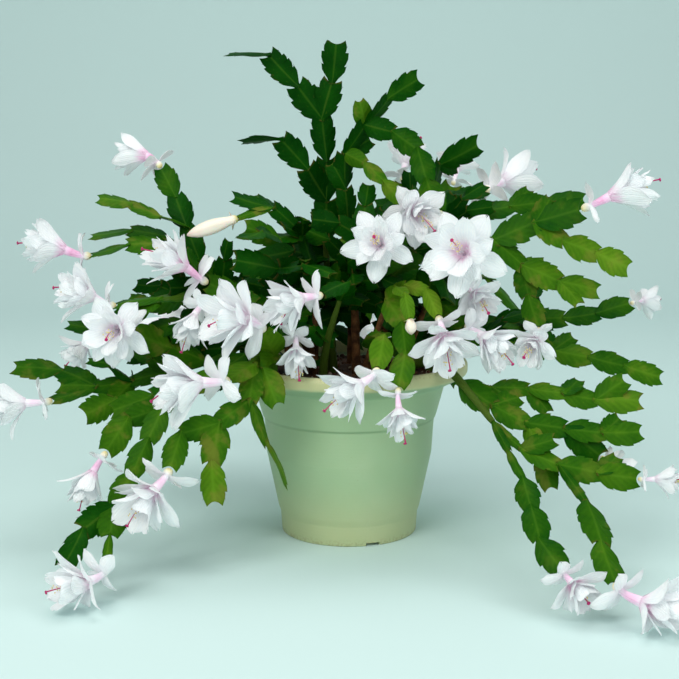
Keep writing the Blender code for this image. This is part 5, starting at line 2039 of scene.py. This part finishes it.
@dataclass(frozen=True)
class PotPiece:
    """The round nursery pot: stepped body, collar, wide lip, drain holes and foot notches."""

    finish: Material
    sides: int = 144
    sharp: float = 42.0
    corner: float = 1.1
    drain_holes: int = 4
    drain_radius: float = 5.0
    drain_circle: float = 38.0
    drain_sides: int = 24
    notches: int = 3
    notch_turn: float = -0.39 * math.pi
    notch_half: float = 6.0
    notch_out: float = 6.0
    notch_in: float = 8.0
    notch_height: float = 2.6

    def profile(self) -> list:
        """Draw the pot's outline from the middle of its base, over the lip, to its floor.

        Returns:
            Its points of (radius, height).
        """
        band = POT_HEIGHT - LIP_BAND
        outside = [
            (0.0, 0.0), (FOOT_RADIUS - 0.8, 0.0), (FOOT_RADIUS + 0.4, FOOT_RING),
            (FOOT_RADIUS + 2.2, FOOT_RING + 5.0), (70.2, 69.0),
            (COLLAR_FOOT_RADIUS - 1.3, COLLAR_FOOT_Z - 1.0), (COLLAR_FOOT_RADIUS, COLLAR_FOOT_Z),
            (COLLAR_TOP_RADIUS, band - 9.0), (LIP_RADIUS - 1.0, band), (LIP_RADIUS, band + 2.0),
            (LIP_RADIUS, POT_HEIGHT - 3.0), (LIP_RADIUS - 2.0, POT_HEIGHT),
        ]
        inside = [(LIP_RADIUS - 6.0, POT_HEIGHT), *reversed(WALL_INSIDE), (0.0, FLOOR)]
        return soften(outside + inside, self.corner)

    def cutter(self, outline: list, top: float) -> Object:
        """Return an upright prism that cuts the pot from below its base.

        Args:
            outline: The prism's corners at height 0.
            top: How high it reaches.

        Returns:
            The cutter.
        """
        shell = Shell()
        shell.barrel([[shell.add(corner + Vector((0.0, 0.0, level))) for corner in outline]
                      for level in (-1.0, top)])
        return shell.item("cutter")

    def notch(self, angle: float) -> Object:
        """Shape the box that cuts a foot notch.

        Args:
            angle: Where on the foot it cuts.

        Returns:
            The cutter.
        """
        forward = turned(angle, 1.0)
        across = Vector((-forward.y, forward.x, 0.0))
        near, far, half = FOOT_RADIUS - self.notch_in, FOOT_RADIUS + self.notch_out, self.notch_half
        corners = ((near, -half), (far, -half), (far, half), (near, half))
        return self.cutter([forward * reach + across * side for reach, side in corners],
                           self.notch_height)

    def drain(self, angle: float) -> Object:
        """Shape the cylinder that cuts a drain hole.

        Args:
            angle: Where on the base it cuts.

        Returns:
            The cutter.
        """
        centre = turned(angle, 1.0) * self.drain_circle
        rim = [centre + turned(turn, self.drain_radius) for turn in turns(self.drain_sides)]
        return self.cutter(rim, FLOOR + 1.0)

    def build(self) -> None:
        """Turn the pot, cut it and hand it in for its solid."""
        shell = Shell()
        shell.grid([[shell.add(turned(angle, radius, height)) for angle in turns(self.sides)]
                    for radius, height in self.profile()], closed=True)
        pot = shell.item("pot_turned", self.finish)
        cutters = [self.notch(angle + self.notch_turn) for angle in turns(self.notches)]
        cutters += [self.drain(angle) for angle in turns(self.drain_holes, 0.5)]
        for cutter in cutters:
            cut = pot.modifiers.new("cut", "BOOLEAN")
            cut.operation, cut.solver, cut.object = "DIFFERENCE", "EXACT", cutter
        mesh = baked(pot)
        for cutter in cutters:
            bpy.data.objects.remove(cutter, do_unlink=True)
        mesh.materials.clear()
        mesh.materials.append(self.finish)
        dress(placed("pot_turned", mesh, self.sharp), "pot_plastic", "pot")


@dataclass(frozen=True)
class SoilPiece:
    """The peat that fills the pot, with an uneven top and loose crumbs."""

    finish: Material
    crumbs: Growth
    rings: int = 34
    sides: int = 110
    tone: float = 0.3
    bumps: tuple = ((2.2, 0.05), (0.8, 0.21))  # the height and fineness of the top's unevenness
    sag: float = 0.4
    edge: float = SOIL_TOP - 1.0
    crumb_count: int = 900
    crumb_least: float = 0.5
    crumb_more: float = 1.9
    crumb_reach: float = 0.985
    crumb_sharp: float = 30.0

    def inside(self, height: float) -> float:
        """Return the soil's radius at a height: just inside the flats of the pot's solid."""
        radii, heights = zip(*WALL_INSIDE)
        return float(np.interp(height, heights, radii)) * 0.99 - 0.4

    def on_top(self, angle: float, radius: float, lift: float = 0.0) -> Vector:
        """Find a point on the uneven top.

        Args:
            angle: Its angle.
            radius: Its distance from the middle.
            lift: How far above the top it is.

        Returns:
            The point.
        """
        spot, level = turned(angle, radius), SOIL_TOP
        for height, fineness in self.bumps:
            level += height * noise.noise(spot * fineness)
        return Vector((spot.x, spot.y, level - self.sag + lift))

    def build(self) -> None:
        """Build the body of the soil and its crumbs and hand them in for its solid."""
        shell = Shell("tone")
        around = turns(self.sides)
        heights = (FLOOR + 0.4, 30.0, 60.0, COLLAR_FOOT_Z, POT_HEIGHT - LIP_BAND - 8.0, self.edge)
        rows = [[turned(angle, self.inside(height), height) for angle in around]
                for height in heights]
        for ring in range(1, self.rings):
            radius = self.inside(self.edge) * (1.0 - ring / self.rings) ** 0.9
            rows.append([self.on_top(angle, radius) for angle in around])
        shell.barrel([[shell.add(point, tone=self.tone) for point in row] for row in rows])
        dress(shell.item("soil_bed", self.finish), "soil_peat", "soil")
        crumbs = self.crumbs.grow("soil_crumbs", self.strew(), self.crumb_sharp)
        dress(crumbs, "soil_peat", "soil")

    def strew(self) -> Seeds:
        """Scatter the crumbs over the top.

        Returns:
            Their places, sizes and turns.
        """
        seeds, draw = Seeds(), random.Random(11)
        for _ in range(self.crumb_count):
            radius = self.inside(self.edge) * self.crumb_reach * math.sqrt(draw.random())
            angle = draw.uniform(0.0, math.tau)
            size = self.crumb_least + self.crumb_more * draw.random() ** 2.5
            way = Vector([draw.gauss(0, 1) for _ in range(3)])
            seeds.put(
                self.on_top(angle, radius, size * 0.3), turn=tuple(way.to_track_quat("Z", "Y")),
                shape=draw.randrange(len(self.crumbs.shapes)), tone=draw.random(),
                stretch=(MM * size * draw.uniform(0.8, 1.5), MM * size, MM * size * 0.8),
            )
        return seeds


def crumb_shape(seed: int) -> Object:
    """Return a small angular lump of radius 1 m, for scaling down.

    Args:
        seed: The start of its random numbers.

    Returns:
        The lump.
    """
    draw = random.Random(seed)
    work = bmesh.new()
    bmesh.ops.create_icosphere(work, subdivisions=1, radius=1.0)
    for corner in work.verts:
        corner.co *= draw.uniform(0.7, 1.15)
    mesh = bpy.data.meshes.new(f"crumb_{seed}")
    work.to_mesh(mesh)
    work.free()
    return placed(f"crumb_{seed}", mesh)


# ---- studio ----
@dataclass(frozen=True)
class Lamp:
    """A square soft light: its place, its side in metres, its power in watts and its colour."""

    name: str
    place: tuple
    size: float
    power: float
    colour: tuple

    AIM = (0.0, 0.0, 0.2)

    def build(self) -> None:
        """Add the light, turned towards the middle of the plant."""
        data = bpy.data.lights.new(self.name, "AREA")
        data.size, data.energy, data.color = self.size, self.power, self.colour
        lamp = bpy.data.objects.new(self.name, data)
        lamp.location = self.place
        way = Vector(self.AIM) - Vector(self.place)
        lamp.rotation_euler = way.to_track_quat("-Z", "Y").to_euler()
        bpy.context.scene.collection.objects.link(lamp)


@dataclass(frozen=True)
class Studio:
    """A plain pale sweep, soft lights and the camera."""

    lens: float = 72.64
    sensor: float = 36.0
    eye: tuple = (-0.0082, -1.143, 0.348)
    tilt: float = 9.16
    air: tuple = (0.9, 0.95, 0.95, 1.0)
    air_strength: float = 0.42
    lamps: tuple = (
        Lamp("key", (-0.9, -1.6, 1.5), 1.1, 25.0, (1.0, 0.985, 0.96)),
        Lamp("fill", (1.5, -1.4, 1.0), 1.2, 14.0, (0.97, 0.99, 1.0)),
        Lamp("top", (0.1, 0.1, 2.1), 1.5, 16.0, (1.0, 1.0, 1.0)),
    )
    floor_front: float = -3000.0
    floor_back: float = 1300.0
    floor_half: float = 4500.0
    floor_drop: float = 0.05
    bend: float = 900.0
    height: float = 4200.0

    def sweep(self) -> None:
        """Build the floor that curves up into the backdrop."""
        back, bend = self.floor_back, self.bend
        route = [(self.floor_front, 0.0), (back, 0.0)]
        route += [(back + bend * math.sin(turn), bend - bend * math.cos(turn))
                  for turn in np.linspace(0.1, math.pi / 2, 14)]
        route.append((back + bend, self.height))
        shell = Shell()
        shell.grid([[shell.add(Vector((x, y, z - self.floor_drop)))
                     for x in (-self.floor_half, self.floor_half)] for y, z in route])
        shell.item("sweep", FloorFinish("pale_sweep").material())

    def build(self) -> None:
        """Build the sweep, the lights, the world and the camera."""
        scene = bpy.context.scene
        self.sweep()
        for lamp in self.lamps:
            lamp.build()
        world = bpy.data.worlds.new("pale_room")
        world.use_nodes = True
        background = world.node_tree.nodes["Background"].inputs
        background["Color"].default_value = self.air
        background["Strength"].default_value = self.air_strength
        scene.world = world
        scene.view_settings.view_transform = "Standard"
        data = bpy.data.cameras.new("camera")
        data.lens, data.sensor_width = self.lens, self.sensor
        camera = bpy.data.objects.new("camera", data)
        camera.location = self.eye
        camera.rotation_euler = (math.pi / 2 - math.radians(self.tilt), 0.0, 0.0)
        scene.collection.objects.link(camera)
        scene.camera = camera


def main() -> None:
    """Build every piece around the frame, in order."""
    logging.basicConfig(level=logging.INFO, format="%(name)s: %(message)s")
    Studio().build()
    PotPiece(PlasticFinish("sage_plastic").material()).build()
    peat = PeatFinish("dark_peat").material()
    crumbs = Growth("crumb_growth", [crumb_shape(seed) for seed in range(3)], peat, peat)
    SoilPiece(peat, crumbs).build()
    crumbs.clear()
    leaf, bark = LeafFinish("leaf_wax").material(), BarkFinish("stem_bark").material()
    shapes = [shape.build() for shape in SEGMENT_SHAPES]
    leafy = Growth("stem_growth", shapes, leaf, bark, strand_sides=12, roughen=0.0016)
    for stem in STEMS:
        StemPiece(stem, leafy).build()
    leafy.clear()
    thread = ThreadFinish("stamen_thread").material()
    threads = Growth("thread_growth", [crumb_shape(9)], thread, thread, strand_sides=4)
    petal = PetalFinish("petal_silk").material()
    for bloom in BLOOMS:
        BloomPiece(bloom, petal, threads).build()
    threads.clear()
    bud_skin = BudFinish("bud_skin").material()
    for bud in BUDS:
        BudPiece(bud, bud_skin).build()


if __name__ == "__main__":
    main()
